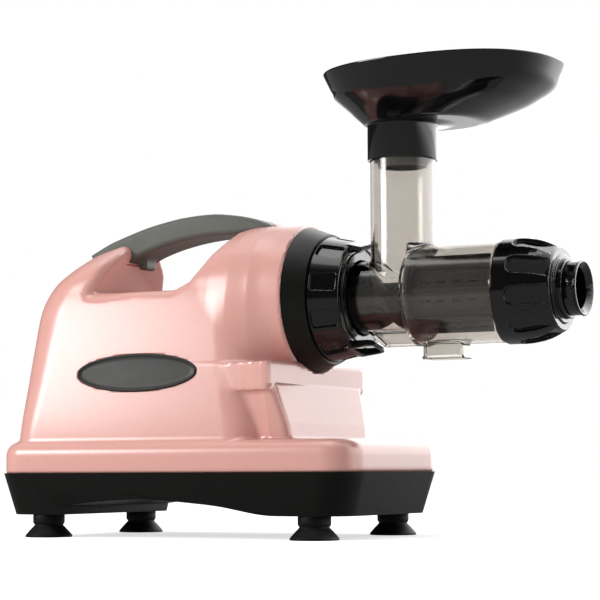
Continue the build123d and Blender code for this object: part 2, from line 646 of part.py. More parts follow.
parts["handle_screws"] = group(
    [rod_z(HANDLE_SCREW_RADIUS, seat, seat + HANDLE_SCREW_LENGTH, REAR + station)
     + rod_z(HANDLE_SCREW_RADIUS * 1.9, seat - HANDLE_SCREW_HEAD, seat, REAR + station)
     for station, seat in HANDLE_SCREWS])
parts["name_plate"] = oval(PLATE_THICKNESS)

# ================================================================ switch and cord inlet
frame_face = SWITCH_SEAT - SWITCH_BEZEL
inner_width = SWITCH_WIDTH / 2 - 2
inner_height = SWITCH_HEIGHT / 2 - 2
bezel = block((frame_face, SWITCH_SEAT), (-seat_width, seat_width),
              (SWITCH_CENTRE_HEIGHT - seat_height, SWITCH_CENTRE_HEIGHT + seat_height))
bezel = fillet(bezel.edges().group_by(Axis.X)[0], 1.2)
frame = bezel + block((SWITCH_SEAT - 1, frame_face + SWITCH_DEPTH), (-SWITCH_WIDTH / 2, SWITCH_WIDTH / 2),
                      (SWITCH_CENTRE_HEIGHT - SWITCH_HEIGHT / 2, SWITCH_CENTRE_HEIGHT + SWITCH_HEIGHT / 2))
frame -= block((frame_face - 1, frame_face + SWITCH_DEPTH - 2), (-inner_width, inner_width),
               (SWITCH_CENTRE_HEIGHT - inner_height, SWITCH_CENTRE_HEIGHT + inner_height))
pivot_x = frame_face + ROCKER_PIVOT
pivot = Pos(pivot_x, 0, SWITCH_CENTRE_HEIGHT) * Rot(90, 0, 0)
frame -= pivot * Cylinder(ROCKER_PIN_RADIUS + SHAFT_CLEARANCE, SWITCH_WIDTH - 1)
parts["switch_frame"] = frame
rocker_radius = inner_height - 0.4
rocker = pivot * Cylinder(rocker_radius, 2 * inner_width - 0.8)
face = [(pivot_x - rocker_radius - 1, SWITCH_CENTRE_HEIGHT + rocker_radius),
        (pivot_x - rocker_radius + ROCKER_DISH, SWITCH_CENTRE_HEIGHT),
        (pivot_x - rocker_radius - 1, SWITCH_CENTRE_HEIGHT - rocker_radius),
        (pivot_x + 2.5, SWITCH_CENTRE_HEIGHT - rocker_radius - 1),
        (pivot_x + 2.5, SWITCH_CENTRE_HEIGHT + rocker_radius + 1)]
rocker &= prism_y(face, -inner_width, inner_width)
parts["switch_rocker"] = rocker + pivot * Cylinder(ROCKER_PIN_RADIUS, SWITCH_WIDTH - 1.4)

gland = turned_x([(REAR + 2, GLAND_BORE), (REAR + 2, GLAND_RADIUS - 2.5),
                  (SWITCH_SEAT - 3, GLAND_RADIUS - 0.5), (SWITCH_SEAT - 3, GLAND_RADIUS + 2.7),
                  (SWITCH_SEAT, GLAND_RADIUS + 2.7),
                  (SWITCH_SEAT, GLAND_RADIUS - 0.1), (GLAND_NUT, GLAND_RADIUS - 0.1),
                  (GLAND_NUT, GLAND_RADIUS + 2.0), (GLAND_NUT + 5, GLAND_RADIUS + 2.0),
                  (GLAND_NUT + 5, GLAND_BORE)])
parts["cord_gland"] = Pos(0, GLAND_SIDE, GLAND_HEIGHT) * gland


# ================================================================ motor
def motor_places(angles, circle=BOLT_CIRCLE):
    return [(circle * cos(radians(a)), MOTOR_AXIS + circle * sin(radians(a))) for a in angles]


BOLT_PLACES = motor_places((45, 135, 225, 315))


def bell(closed_face, open_face):
    """Cup-shaped end bell with a bushing seat and vent holes."""
    low, high = min(closed_face, open_face), max(closed_face, open_face)
    step = 1 if open_face > closed_face else -1
    shape = ring_x(STATOR_RADIUS, STATOR_RADIUS - BELL_WALL, low, high, 0, MOTOR_AXIS)
    wall = sorted((closed_face, closed_face + step * BELL_WALL))
    boss = sorted((closed_face, closed_face + step * BUSHING_LENGTH))
    shape += rod_x(STATOR_RADIUS - BELL_WALL / 2, *wall, 0, MOTOR_AXIS)
    shape += rod_x(BUSHING_RADIUS + 3, *boss, 0, MOTOR_AXIS)
    shape -= rod_x(BUSHING_RADIUS, low - 1, high + 1, 0, MOTOR_AXIS)
    for y, z in BOLT_PLACES:
        shape -= rod_x(MOTOR_BOLT_RADIUS + 0.1, low - 1, high + 1, y, z)
    for y, z in motor_places(range(0, 360, 60), (BUSHING_RADIUS + 3 + BOLT_CIRCLE) / 2):
        shape -= rod_x(4.0, wall[0] - 1, wall[1] + 1, y, z)
    return shape


parts["motor_rear_bell"] = bell(MOTOR_START, STATOR_START)
parts["motor_front_bell"] = bell(MOTOR_END, STATOR_END)
core = ring_x(STATOR_RADIUS, STATOR_BORE, STATOR_START, STATOR_END, 0, MOTOR_AXIS)
for y, z in BOLT_PLACES:
    core -= rod_x(MOTOR_BOLT_RADIUS + 0.1, STATOR_START - 1, STATOR_END + 1, y, z)
parts["motor_stator_core"] = core
parts["stator_windings"] = group(
    [ring_x(WINDING_OUTER, WINDING_INNER, STATOR_START - WINDING_LENGTH, STATOR_START, 0, MOTOR_AXIS),
     ring_x(WINDING_OUTER, WINDING_INNER, STATOR_END, STATOR_END + WINDING_LENGTH, 0, MOTOR_AXIS)])
BUSHINGS = {"motor_rear_bushing": MOTOR_START, "motor_front_bushing": MOTOR_END - BUSHING_LENGTH}
for name, start in BUSHINGS.items():
    parts[name] = ring_x(BUSHING_RADIUS, SHAFT_RADIUS + SHAFT_CLEARANCE, start, start + BUSHING_LENGTH,
                         0, MOTOR_AXIS)
parts["rotor_core"] = ring_x(STATOR_BORE - AIR_GAP, SHAFT_RADIUS, STATOR_START, STATOR_END, 0, MOTOR_AXIS)
shaft_start = MOTOR_START - BRACKET_SHEET - FAN_WIDTH - 6
pinion_start = CASE_REAR + CASE_WALL + 2.5
pinion_end = PLATE_REAR + 0.5
parts["rotor_shaft"] = (rod_x(SHAFT_RADIUS, shaft_start, pinion_start, 0, MOTOR_AXIS)
                        + rod_x(SHAFT_NOSE_RADIUS, pinion_start, pinion_end - 0.3, 0, MOTOR_AXIS))
bolt_start = MOTOR_START - BRACKET_SHEET
bolt_end = MOTOR_END + BRACKET_SHEET
parts["motor_through_bolts"] = group(
    [rod_x(MOTOR_BOLT_RADIUS, bolt_start - 2.5, bolt_end + 2.5, y, z)
     + rod_x(MOTOR_BOLT_RADIUS * 1.8, bolt_start - 2.5, bolt_start, y, z)
     + rod_x(MOTOR_BOLT_RADIUS * 1.8, bolt_end, bolt_end + 2.5, y, z) for y, z in BOLT_PLACES])

fan_start = shaft_start + 2
fan_end = fan_start + FAN_WIDTH
hub_radius = SHAFT_RADIUS + 5
fan = ring_x(hub_radius, SHAFT_RADIUS, fan_start, fan_end, 0, MOTOR_AXIS)
fan += ring_x(FAN_RADIUS, SHAFT_RADIUS + 1, fan_end - 2, fan_end, 0, MOTOR_AXIS)
blade = Rot(0, 0, 12) * Box(FAN_WIDTH - 3, 1.8, FAN_RADIUS - hub_radius + 1)
for index in range(FAN_BLADES):
    place = Pos((fan_start + fan_end - 1) / 2, 0, MOTOR_AXIS) * Rot(index * 360 / FAN_BLADES, 0, 0)
    fan += place * Pos(0, 0, (FAN_RADIUS + hub_radius - 2) / 2) * blade
parts["cooling_fan"] = fan

cheek_top = MOTOR_AXIS + BOLT_CIRCLE
bracket = block((bolt_start, bolt_end), (-BRACKET_HALF_WIDTH, BRACKET_HALF_WIDTH),
                (BRACKET_FLOOR, BRACKET_FLOOR + BRACKET_SHEET))
for start in (bolt_start, MOTOR_END):
    bracket += block((start, start + BRACKET_SHEET), (-BRACKET_HALF_WIDTH, BRACKET_HALF_WIDTH),
                     (BRACKET_FLOOR, cheek_top))
bracket -= rod_x(BUSHING_RADIUS + 6, bolt_start - 1, bolt_end + 1, 0, MOTOR_AXIS)
for y, z in BOLT_PLACES:
    bracket -= rod_x(MOTOR_BOLT_RADIUS + 0.1, bolt_start - 1, bolt_end + 1, y, z)
for x, y in POST_PLACES:
    bracket -= rod_z(BRACKET_SCREW_RADIUS, BRACKET_FLOOR - 1, BRACKET_FLOOR + BRACKET_SHEET + 1, x, y)
parts["motor_bracket"] = bracket
parts["bracket_screws"] = group(
    [screw_z(BRACKET_SCREW_RADIUS, 2.2, BRACKET_FLOOR + BRACKET_SHEET, BRACKET_SHEET + 7, x, y)
     for x, y in POST_PLACES])


# ================================================================ gear train
def gear_outline(teeth, module, x, phase):
    """Involute spur gear in the YZ plane at x, one tooth centred on `phase` (degrees)."""
    pitch_radius = module * teeth / 2
    alpha = radians(PRESSURE_ANGLE)
    base_radius = pitch_radius * cos(alpha)
    tip_radius = pitch_radius + module
    root_radius = pitch_radius - 1.25 * module
    half_tooth = pi / (2 * teeth) - BACKLASH / (2 * pitch_radius) + tan(alpha) - alpha
    flank = []
    start_radius = max(base_radius, root_radius)
    for step in range(4):
        radius = start_radius + (tip_radius - start_radius) * step / 3
        pressure = acos(min(1.0, base_radius / radius))
        flank.append((radius, half_tooth - (tan(pressure) - pressure)))
    if root_radius < base_radius:
        flank.insert(0, (root_radius, flank[0][1]))
    points = []
    for tooth in range(teeth):
        middle = radians(phase) + 2 * pi * tooth / teeth
        points += [(r, middle - a) for r, a in flank] + [(r, middle + a) for r, a in reversed(flank)]
    return make_face(Polyline(*[(x, r * cos(a), r * sin(a)) for r, a in points], close=True))


def gear(teeth, module, start, width, y, z, phase):
    return Pos(0, y, z) * extrude(gear_outline(teeth, module, start, phase), amount=width, dir=(1, 0, 0))


first_mesh = degrees(atan2(IDLER_RISE, IDLER_SIDE))
second_mesh = degrees(atan2(DRUM_AXIS - IDLER_HEIGHT, -IDLER_SIDE))
inner_low = CASE_REAR + CASE_WALL
inner_high = CASE_FRONT - CASE_WALL
first_start = pinion_start + 0.5
pinion = gear(PINION_TEETH, FIRST_MODULE, pinion_start, pinion_end - pinion_start, 0, MOTOR_AXIS,
              first_mesh)
parts["motor_pinion"] = pinion - rod_x(SHAFT_NOSE_RADIUS, pinion_start - 1, pinion_end + 1, 0, MOTOR_AXIS)
first = gear(FIRST_GEAR_TEETH, FIRST_MODULE, first_start, FIRST_GEAR_WIDTH, IDLER_SIDE, IDLER_HEIGHT,
             first_mesh + 180 + 180 / FIRST_GEAR_TEETH)
first -= rod_x(CLUSTER_HUB_RADIUS, inner_low, inner_high, IDLER_SIDE, IDLER_HEIGHT)
for index in range(6):
    angle = radians(60 * index)
    first -= rod_x(4.5, inner_low, inner_high, IDLER_SIDE + 16 * cos(angle), IDLER_HEIGHT + 16 * sin(angle))
parts["first_gear"] = first
rear_bearing = PLATE_REAR + 1.0
output_start = rear_bearing + BEARING_WIDTH + SEAT_GAP
second_start = output_start - 1.5
cluster = rod_x(CLUSTER_HUB_RADIUS, inner_low + 0.5, second_start, IDLER_SIDE, IDLER_HEIGHT)
cluster += gear(SECOND_PINION_TEETH, SECOND_MODULE, second_start, inner_high - 0.5 - second_start,
                IDLER_SIDE, IDLER_HEIGHT, second_mesh)
parts["second_pinion"] = cluster - rod_x(IDLER_PIN_RADIUS + SHAFT_CLEARANCE, inner_low, inner_high,
                                         IDLER_SIDE, IDLER_HEIGHT)
parts["idler_pin"] = rod_x(IDLER_PIN_RADIUS, inner_low - 2, inner_high + 2, IDLER_SIDE, IDLER_HEIGHT)
output = gear(OUTPUT_GEAR_TEETH, SECOND_MODULE, output_start, OUTPUT_GEAR_WIDTH, 0, DRUM_AXIS,
              second_mesh + 180 + 180 / OUTPUT_GEAR_TEETH)
output -= rod_x(OUTPUT_SHAFT_RADIUS, inner_low, inner_high, 0, DRUM_AXIS)
for index in range(5):
    angle = radians(72 * index)
    output -= rod_x(5.5, inner_low, inner_high, 20 * cos(angle), DRUM_AXIS + 20 * sin(angle))
parts["output_gear"] = output
hex_face = Rot(0, 90, 0) * RegularPolygon(DRIVE_HEX / 2, 6, major_radius=False)
hex_start = NECK_FRONT + 2.6
hex_end = HUB_START + 9.5
parts["output_shaft"] = (rod_x(OUTPUT_SHAFT_RADIUS, PLATE_REAR + 0.5, hex_start, 0, DRUM_AXIS)
                         + extrude(Pos(hex_start, 0, DRUM_AXIS) * hex_face, amount=hex_end - hex_start,
                                   dir=(1, 0, 0)))
front_bearing = CASE_FRONT
for name, start in (("output_bearing_rear", rear_bearing), ("output_bearing_front", front_bearing)):
    parts[name] = ring_x(OUTPUT_BEARING_RADIUS, OUTPUT_SHAFT_RADIUS + SHAFT_CLEARANCE, start,
                         start + BEARING_WIDTH, 0, DRUM_AXIS)
seal_start = NECK_FRONT - 5.4
parts["shaft_seal"] = ring_x(OUTPUT_BEARING_RADIUS, OUTPUT_SHAFT_RADIUS + SHAFT_CLEARANCE, seal_start,
                             seal_start + 5, 0, DRUM_AXIS)


def hull_face(circles, x):
    """Face in the YZ plane round several (y, z, radius) circles."""
    edges = []
    for y, z, radius in circles:
        edges += (Pos(y, z) * Circle(radius)).edges()
    flat = make_hull(edges)
    return Plane(origin=(x, 0, 0), x_dir=(0, 1, 0), z_dir=(1, 0, 0)) * flat


def hull_x(circles, start, end):
    return extrude(hull_face(circles, start), amount=end - start, dir=(1, 0, 0))


def grown(circles, extra):
    return [(y, z, radius + extra) for y, z, radius in circles]


rear_space = [(0, MOTOR_AXIS, FIRST_MODULE * (PINION_TEETH / 2 + 1) + CASE_TIP_CLEARANCE),
              (IDLER_SIDE, IDLER_HEIGHT, FIRST_MODULE * (FIRST_GEAR_TEETH / 2 + 1) + CASE_TIP_CLEARANCE)]
front_space = [(IDLER_SIDE, IDLER_HEIGHT,
                SECOND_MODULE * (SECOND_PINION_TEETH / 2 + 1) + CASE_TIP_CLEARANCE),
               (0, DRUM_AXIS, SECOND_MODULE * (OUTPUT_GEAR_TEETH / 2 + 1) + CASE_TIP_CLEARANCE)]
CASE_LUGS = [(IDLER_SIDE + 24, IDLER_HEIGHT - 27), (-12.0, MOTOR_AXIS - 13), (-35, DRUM_AXIS + 21),
             (35, DRUM_AXIS + 21), (-32, DRUM_AXIS - 26)]
REAR_LUGS = CASE_LUGS[:2]


def case_outline(circles, lugs):
    return grown(circles, CASE_WALL) + [(y, z, CASE_LUG_RADIUS) for y, z in lugs]


rear_outline = case_outline(rear_space, REAR_LUGS)
front_outline = case_outline(front_space, CASE_LUGS[2:])
cover = hull_x(rear_outline, CASE_REAR, PLATE_REAR) - hull_x(rear_space, inner_low, PLATE_REAR + 1)
cover -= rod_x(SHAFT_RADIUS + 0.6, CASE_REAR - 1, inner_low + 1, 0, MOTOR_AXIS)
cover -= rod_x(IDLER_PIN_RADIUS, inner_low - 2, inner_low + 1, IDLER_SIDE, IDLER_HEIGHT)
plate = hull_x(rear_outline, PLATE_REAR, CASE_SPLIT) + hull_x(front_outline, PLATE_REAR, CASE_SPLIT)
plate += rod_x(OUTPUT_BEARING_RADIUS + 3, PLATE_REAR, output_start - 0.8, 0, DRUM_AXIS)
plate -= rod_x(OUTPUT_BEARING_RADIUS, rear_bearing, CASE_FRONT, 0, DRUM_AXIS)
plate -= rod_x(SECOND_MODULE * (SECOND_PINION_TEETH / 2 + 1) + 1.5, PLATE_REAR - 1, CASE_SPLIT + 1,
               IDLER_SIDE, IDLER_HEIGHT)
plate -= rod_x(OUTPUT_SHAFT_RADIUS + 1, PLATE_REAR - 1, CASE_SPLIT, 0, DRUM_AXIS)
plate -= rod_x(SHAFT_NOSE_RADIUS + 4.5, PLATE_REAR - 1, CASE_SPLIT - 1.5, 0, MOTOR_AXIS)
case = hull_x(front_outline, CASE_SPLIT, CASE_FRONT) - hull_x(front_space, CASE_SPLIT - 1, inner_high)
case += rod_x(CASE_NOSE_RADIUS, inner_high, NECK_FRONT + 1.5, 0, DRUM_AXIS)
for y, z in PILLAR_PLACES:
    case += rod_x(CASE_PILLAR_RADIUS, CASE_FRONT - 6, NECK_FRONT - WALL, y, z)
case -= hull_x(front_space, CASE_SPLIT - 1, inner_high)
case -= rod_x(OUTPUT_BEARING_RADIUS, front_bearing, NECK_FRONT + 2.5, 0, DRUM_AXIS)
case -= rod_x(OUTPUT_SHAFT_RADIUS + 1, inner_high - 1, CASE_FRONT + 1, 0, DRUM_AXIS)
case -= rod_x(IDLER_PIN_RADIUS, inner_high - 1, inner_high + 2, IDLER_SIDE, IDLER_HEIGHT)
screw_tip = NECK_FRONT - WALL - 9
for y, z in PILLAR_PLACES:
    case -= rod_x(COLLAR_SCREW_RADIUS, screw_tip, NECK_FRONT, y, z)
case_screws = []
for y, z in CASE_LUGS[2:]:
    plate -= rod_x(CASE_SCREW_RADIUS, PLATE_REAR - 1, CASE_SPLIT + 1, y, z)
    case -= rod_x(CASE_SCREW_RADIUS, CASE_SPLIT - 1, CASE_SPLIT + 10, y, z)
    case_screws.append(rod_x(CASE_SCREW_RADIUS, PLATE_REAR, CASE_SPLIT + 10, y, z)
                       + rod_x(CASE_SCREW_RADIUS * 1.9, PLATE_REAR - 2, PLATE_REAR, y, z))
for y, z in REAR_LUGS:
    cover -= rod_x(CASE_SCREW_RADIUS, CASE_REAR - 1, PLATE_REAR + 1, y, z)
    plate -= rod_x(CASE_SCREW_RADIUS, PLATE_REAR - 1, CASE_SPLIT + 1, y, z)
    case_screws.append(rod_x(CASE_SCREW_RADIUS, CASE_REAR, CASE_SPLIT, y, z)
                       + rod_x(CASE_SCREW_RADIUS * 1.9, CASE_REAR - 2, CASE_REAR, y, z))
parts["gear_case_cover"] = cover
parts["gear_bearing_plate"] = plate
parts["gear_case"] = case
parts["gear_case_screws"] = group(case_screws)

# ================================================================ electrical pieces
(cap_low, cap_high), (cap_right, cap_left) = CAPACITOR_PAD
cap_y = (cap_right + cap_left) / 2
cap_z = BRACKET_FLOOR + CAPACITOR_RADIUS + 2
cap_middle = (cap_low + cap_high) / 2
parts["run_capacitor"] = rod_x(CAPACITOR_RADIUS, cap_middle - CAPACITOR_LENGTH / 2,
                               cap_middle + CAPACITOR_LENGTH / 2, cap_y, cap_z)
clamp = ring_x(CAPACITOR_RADIUS + 1.5, CAPACITOR_RADIUS, cap_low + 5, cap_high - 5, cap_y, cap_z)
clamp += block((cap_low + 5, cap_high - 5), (cap_right + 2, cap_left - 2),
               (BRACKET_FLOOR, BRACKET_FLOOR + 2))
clamp -= rod_x(CAPACITOR_RADIUS, cap_low, cap_high, cap_y, cap_z)
parts["capacitor_clamp"] = clamp
(term_low, term_high), (term_right, term_left) = TERMINAL_PAD
terminal = block((term_low + 1, term_high - 1), (term_right + 4, term_left - 4),
                 (BRACKET_FLOOR, BRACKET_FLOOR + 13))
for index in range(3):
    x = (term_low + term_high) / 2 + (index - 1) * 9
    place = Pos(x, (term_right + term_left) / 2, BRACKET_FLOOR + 13)
    terminal -= place * Box(6, 9, 8)
parts["terminal_block"] = terminal


# ================================================================ collar and locking ring
def cone_x(start_radius, end_radius, start, end, z=DRUM_AXIS):
    return turned_x([(start, 0), (start, start_radius), (end, end_radius), (end, 0)], z)


def sector(inner, outer, start, end, middle, width, z=DRUM_AXIS):
    """Piece of a ring along X, `width` degrees wide and centred on `middle` degrees from +Y."""
    reach = outer * 1.5
    half = radians(width / 2)
    wedge = [(0, 0), (reach * cos(-half), reach * sin(-half)), (reach * cos(half), reach * sin(half))]
    shape = ring_x(outer, inner, start, end) & prism_x(wedge, start - 1, end + 1)
    return Pos(0, 0, z) * Rot(middle, 0, 0) * shape


lug_angles = [360 / LUG_COUNT * index + 30 for index in range(LUG_COUNT)]
lug_start = HUB_START + 3.5
collar = cone_x(COLLAR_BACK_RADIUS, COLLAR_FRONT_RADIUS, NECK_FRONT, HUB_START)
collar += rod_x(HUB_RADIUS, NECK_FRONT, FLANGE_START - SEAT_GAP, 0, DRUM_AXIS)
for angle in lug_angles:
    collar += sector(HUB_RADIUS - 1, HUB_RADIUS + LUG_HEIGHT, lug_start, lug_start + LUG_WIDTH, angle,
                     LUG_ANGLE)
spigot_back = FLANGE_START - SPIGOT_LENGTH
collar -= rod_x(SPIGOT_RADIUS + 0.3, spigot_back - SEAT_GAP, FLANGE_START, 0, DRUM_AXIS)
collar -= rod_x(CASE_NOSE_RADIUS + 0.3, NECK_FRONT - 1, NECK_FRONT + 2.0, 0, DRUM_AXIS)
collar -= rod_x(AUGER_JOURNAL + 0.6, NECK_FRONT - 1, FLANGE_START, 0, DRUM_AXIS)
collar_screws = []
for y, z in PILLAR_PLACES:
    head = HUB_START - 3.0
    collar -= rod_x(COLLAR_SCREW_RADIUS, NECK_FRONT - 1, HUB_START + 1, y, z)
    collar -= rod_x(COLLAR_SCREW_RADIUS * 1.9 + 0.2, head - 2, HUB_START + 1, y, z)
    collar_screws.append(rod_x(COLLAR_SCREW_RADIUS, screw_tip, head - 2, y, z)
                         + rod_x(COLLAR_SCREW_RADIUS * 1.9, head - 2, head, y, z))
parts["front_collar"] = collar
parts["collar_screws"] = group(collar_screws)

ring_start = HUB_START + SEAT_GAP
ring_end = ring_start + RING_LENGTH
lip_start = FLANGE_START + DRUM_FLANGE_WIDTH + SEAT_GAP
groove = (lug_start - 0.4, lug_start + LUG_WIDTH + 0.4)
ring_bore = HUB_RADIUS + TURN_CLEARANCE
groove_radius = HUB_RADIUS + LUG_HEIGHT + TURN_CLEARANCE
ring = turned_x([(ring_start, 0), (ring_start, RING_BACK_RADIUS - 1), (ring_start + 1, RING_BACK_RADIUS),
                 (ring_end - 2.5, RING_FRONT_RADIUS + 0.4), (ring_end, RING_FRONT_RADIUS - 1.6),
                 (ring_end, 0)], DRUM_AXIS)
for index in range(RING_WINDOWS):
    middle = (ring_start + ring_end) / 2 - 0.5
    pocket = Pos(middle, 0, 0) * Box(RING_LENGTH - 2 * WINDOW_MARGIN, WINDOW_WIDTH, 12)
    pocket = fillet(pocket.edges().filter_by(Axis.Z), 1.5)
    slope = degrees(atan2(RING_BACK_RADIUS - RING_FRONT_RADIUS, RING_LENGTH))
    mean = (RING_BACK_RADIUS + RING_FRONT_RADIUS) / 2
    tilted = Pos(middle, 0, mean - WINDOW_DEPTH + 6) * Rot(0, slope, 0) * Pos(-middle, 0, 0) * pocket
    ring -= Pos(0, 0, DRUM_AXIS) * Rot(index * 360 / RING_WINDOWS + WINDOW_PHASE, 0, 0) * tilted


def lever(reach, side):
    """Finger lever in front of the ring's rim, above (side 1) or below (side -1) the drum."""
    outer = RING_FRONT_RADIUS + 0.4
    profile = [(ring_end - 9, outer - LEVER_THICKNESS), (ring_end - 9, outer - 0.6),
               (ring_end - 2, outer - 0.2), (ring_end + reach, outer - 3.0),
               (ring_end + reach, outer - LEVER_THICKNESS + 1),
               (ring_end + reach - 2, outer - LEVER_THICKNESS)]
    bar = prism_y(profile, -LEVER_WIDTH / 2, LEVER_WIDTH / 2)
    corners = bar.edges().filter_by(Axis.Z).group_by(Axis.X)[-1]
    bar = fillet(corners, min(reach, LEVER_WIDTH) * 0.3)
    turn = LEVER_ANGLE if side > 0 else 180 - LEVER_ANGLE
    return Pos(0, 0, DRUM_AXIS) * Rot(turn, 0, 0) * bar


ring += lever(LEVER_REACH_TOP, 1) + lever(LEVER_REACH_BOTTOM, -1)
ring -= rod_x(ring_bore, ring_start - 1, lip_start, 0, DRUM_AXIS)
ring -= rod_x(groove_radius, *groove, 0, DRUM_AXIS)
ring -= rod_x(AUGER_TUBE_RADIUS + 1.0, ring_start, ring_end + LEVER_REACH_BOTTOM + 1, 0, DRUM_AXIS)
for angle in lug_angles:
    ring -= sector(HUB_RADIUS - 1, groove_radius, ring_start - 1, groove[1], angle + BAYONET_TURN,
                   LUG_ANGLE + 3)
parts["locking_ring"] = ring

# ================================================================ drum
tube_bore = AUGER_TUBE_RADIUS - DRUM_WALL
chamber_bore = CHAMBER_RADIUS - DRUM_WALL
chute_x = FLANGE_START + CHUTE_STATION
flange_end = FLANGE_START + DRUM_FLANGE_WIDTH
trough_start = FLANGE_START + TROUGH_START
drum = rod_x(SPIGOT_RADIUS, spigot_back, FLANGE_START, 0, DRUM_AXIS)
drum += rod_x(HUB_RADIUS, FLANGE_START, flange_end, 0, DRUM_AXIS)
drum += rod_x(AUGER_TUBE_RADIUS, flange_end, SHOULDER + 1, 0, DRUM_AXIS)
drum += turned_x([(SHOULDER, 0), (SHOULDER, CHAMBER_RADIUS - 2.5), (SHOULDER + 1, CHAMBER_RADIUS - 0.8),
                  (SHOULDER + 2.6, CHAMBER_RADIUS), (CHAMBER_END, CHAMBER_RADIUS),
                  (CHAMBER_END, 0)], DRUM_AXIS)
drum += rod_x(CAP_SPIGOT_RADIUS, CHAMBER_END, CHAMBER_END + CAP_SPIGOT_LENGTH, 0, DRUM_AXIS)
drum += rod_z(CHUTE_RADIUS, DRUM_AXIS, CHUTE_FOOT, chute_x)
trough = [(trough_start, DRUM_AXIS - TROUGH_ROOT), (trough_start, TROUGH_BOTTOM + TROUGH_RAMP[1]),
          (trough_start + TROUGH_RAMP[0], TROUGH_BOTTOM), (SHOULDER + 1, TROUGH_BOTTOM),
          (SHOULDER + 1, DRUM_AXIS - TROUGH_ROOT)]
drum += prism_y(trough, -TROUGH_WIDTH / 2, TROUGH_WIDTH / 2)
spout_low = SHOULDER + SPOUT_START
spout_foot = Pos(spout_low + SPOUT_LENGTH / 2, 0, SPOUT_BOTTOM)
spout_tube = RectangleRounded(SPOUT_LENGTH - 2 * SPOUT_LIP, SPOUT_WIDTH - 2 * SPOUT_LIP, SPOUT_CORNER)
spout_rim = RectangleRounded(SPOUT_LENGTH, SPOUT_WIDTH, SPOUT_CORNER + SPOUT_LIP)
drum += extrude(spout_foot * spout_tube, amount=DRUM_AXIS - TROUGH_ROOT - SPOUT_BOTTOM)
drum += extrude(spout_foot * spout_rim, amount=SPOUT_LIP)
drum -= rod_x(tube_bore, spigot_back + DRUM_WALL + 1, SHOULDER + CHAMBER_SHOULDER + 1, 0, DRUM_AXIS)
drum -= rod_x(AUGER_JOURNAL + SHAFT_CLEARANCE, spigot_back - 1, flange_end, 0, DRUM_AXIS)
drum -= rod_x(chamber_bore, SHOULDER + CHAMBER_SHOULDER, CHAMBER_END, 0, DRUM_AXIS)
drum -= rod_x(CAP_SPIGOT_RADIUS - DRUM_WALL, CHAMBER_END - 1, CHAMBER_END + CAP_SPIGOT_LENGTH + 1,
              0, DRUM_AXIS)
chute_bore = CHUTE_RADIUS - CHUTE_WALL
feed_hole = rod_z(chute_bore, DRUM_AXIS, CHUTE_FOOT + 1, chute_x)
drum -= feed_hole & block((chute_x - 2 * CHUTE_RADIUS, SHOULDER - 0.6), (-CHUTE_RADIUS, CHUTE_RADIUS),
                          (DRUM_AXIS, CHUTE_FOOT + 1))
drum -= rod_z(chute_bore, DRUM_AXIS + CHAMBER_RADIUS, CHUTE_FOOT + 1, chute_x)
spout_margin = 2 * (SPOUT_LIP + SPOUT_WALL)
spout_bore = Pos(0, 0, -CUT_THROUGH) * spout_foot * RectangleRounded(
    SPOUT_LENGTH - spout_margin, SPOUT_WIDTH - spout_margin, SPOUT_CORNER - SPOUT_WALL)
drum -= extrude(spout_bore, amount=DRUM_AXIS - TROUGH_ROOT - 5 - SPOUT_BOTTOM)
cap_lug_start = CHAMBER_END + 3.0
for angle in lug_angles:
    drum += sector(CAP_SPIGOT_RADIUS - 1, CAP_SPIGOT_RADIUS + CAP_LUG_HEIGHT, cap_lug_start,
                   cap_lug_start + CAP_LUG_WIDTH, angle, LUG_ANGLE - 4)
parts["drum"] = drum
parts["feed_chute"] = rod_z(CHUTE_RADIUS, CHUTE_FOOT, CHUTE_TOP, chute_x) - rod_z(
    chute_bore, CHUTE_FOOT - 1, CHUTE_TOP + 1, chute_x)

# ================================================================ auger and screen
auger_start = spigot_back + DRUM_WALL + 1.6
auger_end = CHAMBER_END + AUGER_OVERRUN
profile = Circle(AUGER_CORE) + Rectangle(2 * AUGER_RADIUS + 4, AUGER_FLIGHT)
profile &= Circle(AUGER_RADIUS)
length = auger_end - auger_start
section = profile.faces()[0]
twisted = Solid.extrude_linear_with_rotation(section, (0, 0, 0), (0, 0, length), 360 * length / AUGER_LEAD)
auger = Pos(auger_start, 0, DRUM_AXIS) * Rot(0, 90, 0) * twisted
journal_start = spigot_back - SEAT_GAP - 4
auger += rod_x(AUGER_JOURNAL, journal_start, auger_start + 1.5, 0, DRUM_AXIS)
socket = Rot(0, 90, 0) * RegularPolygon(DRIVE_HEX / 2 + 0.1, 6, major_radius=False)
auger -= extrude(Pos(journal_start - 1, 0, DRUM_AXIS) * socket, amount=hex_end - journal_start + 1.5,
                 dir=(1, 0, 0))
parts["auger"] = auger
insert = turned_x([(auger_end, 0), (auger_end, AUGER_RADIUS - 1), (auger_end + 3, AUGER_RADIUS - 1),
                   (auger_end + 13, AUGER_CORE), (auger_end + 16, AUGER_CORE - 1),
                   (auger_end + 16, 0)], DRUM_AXIS)
parts["auger_insert"] = insert

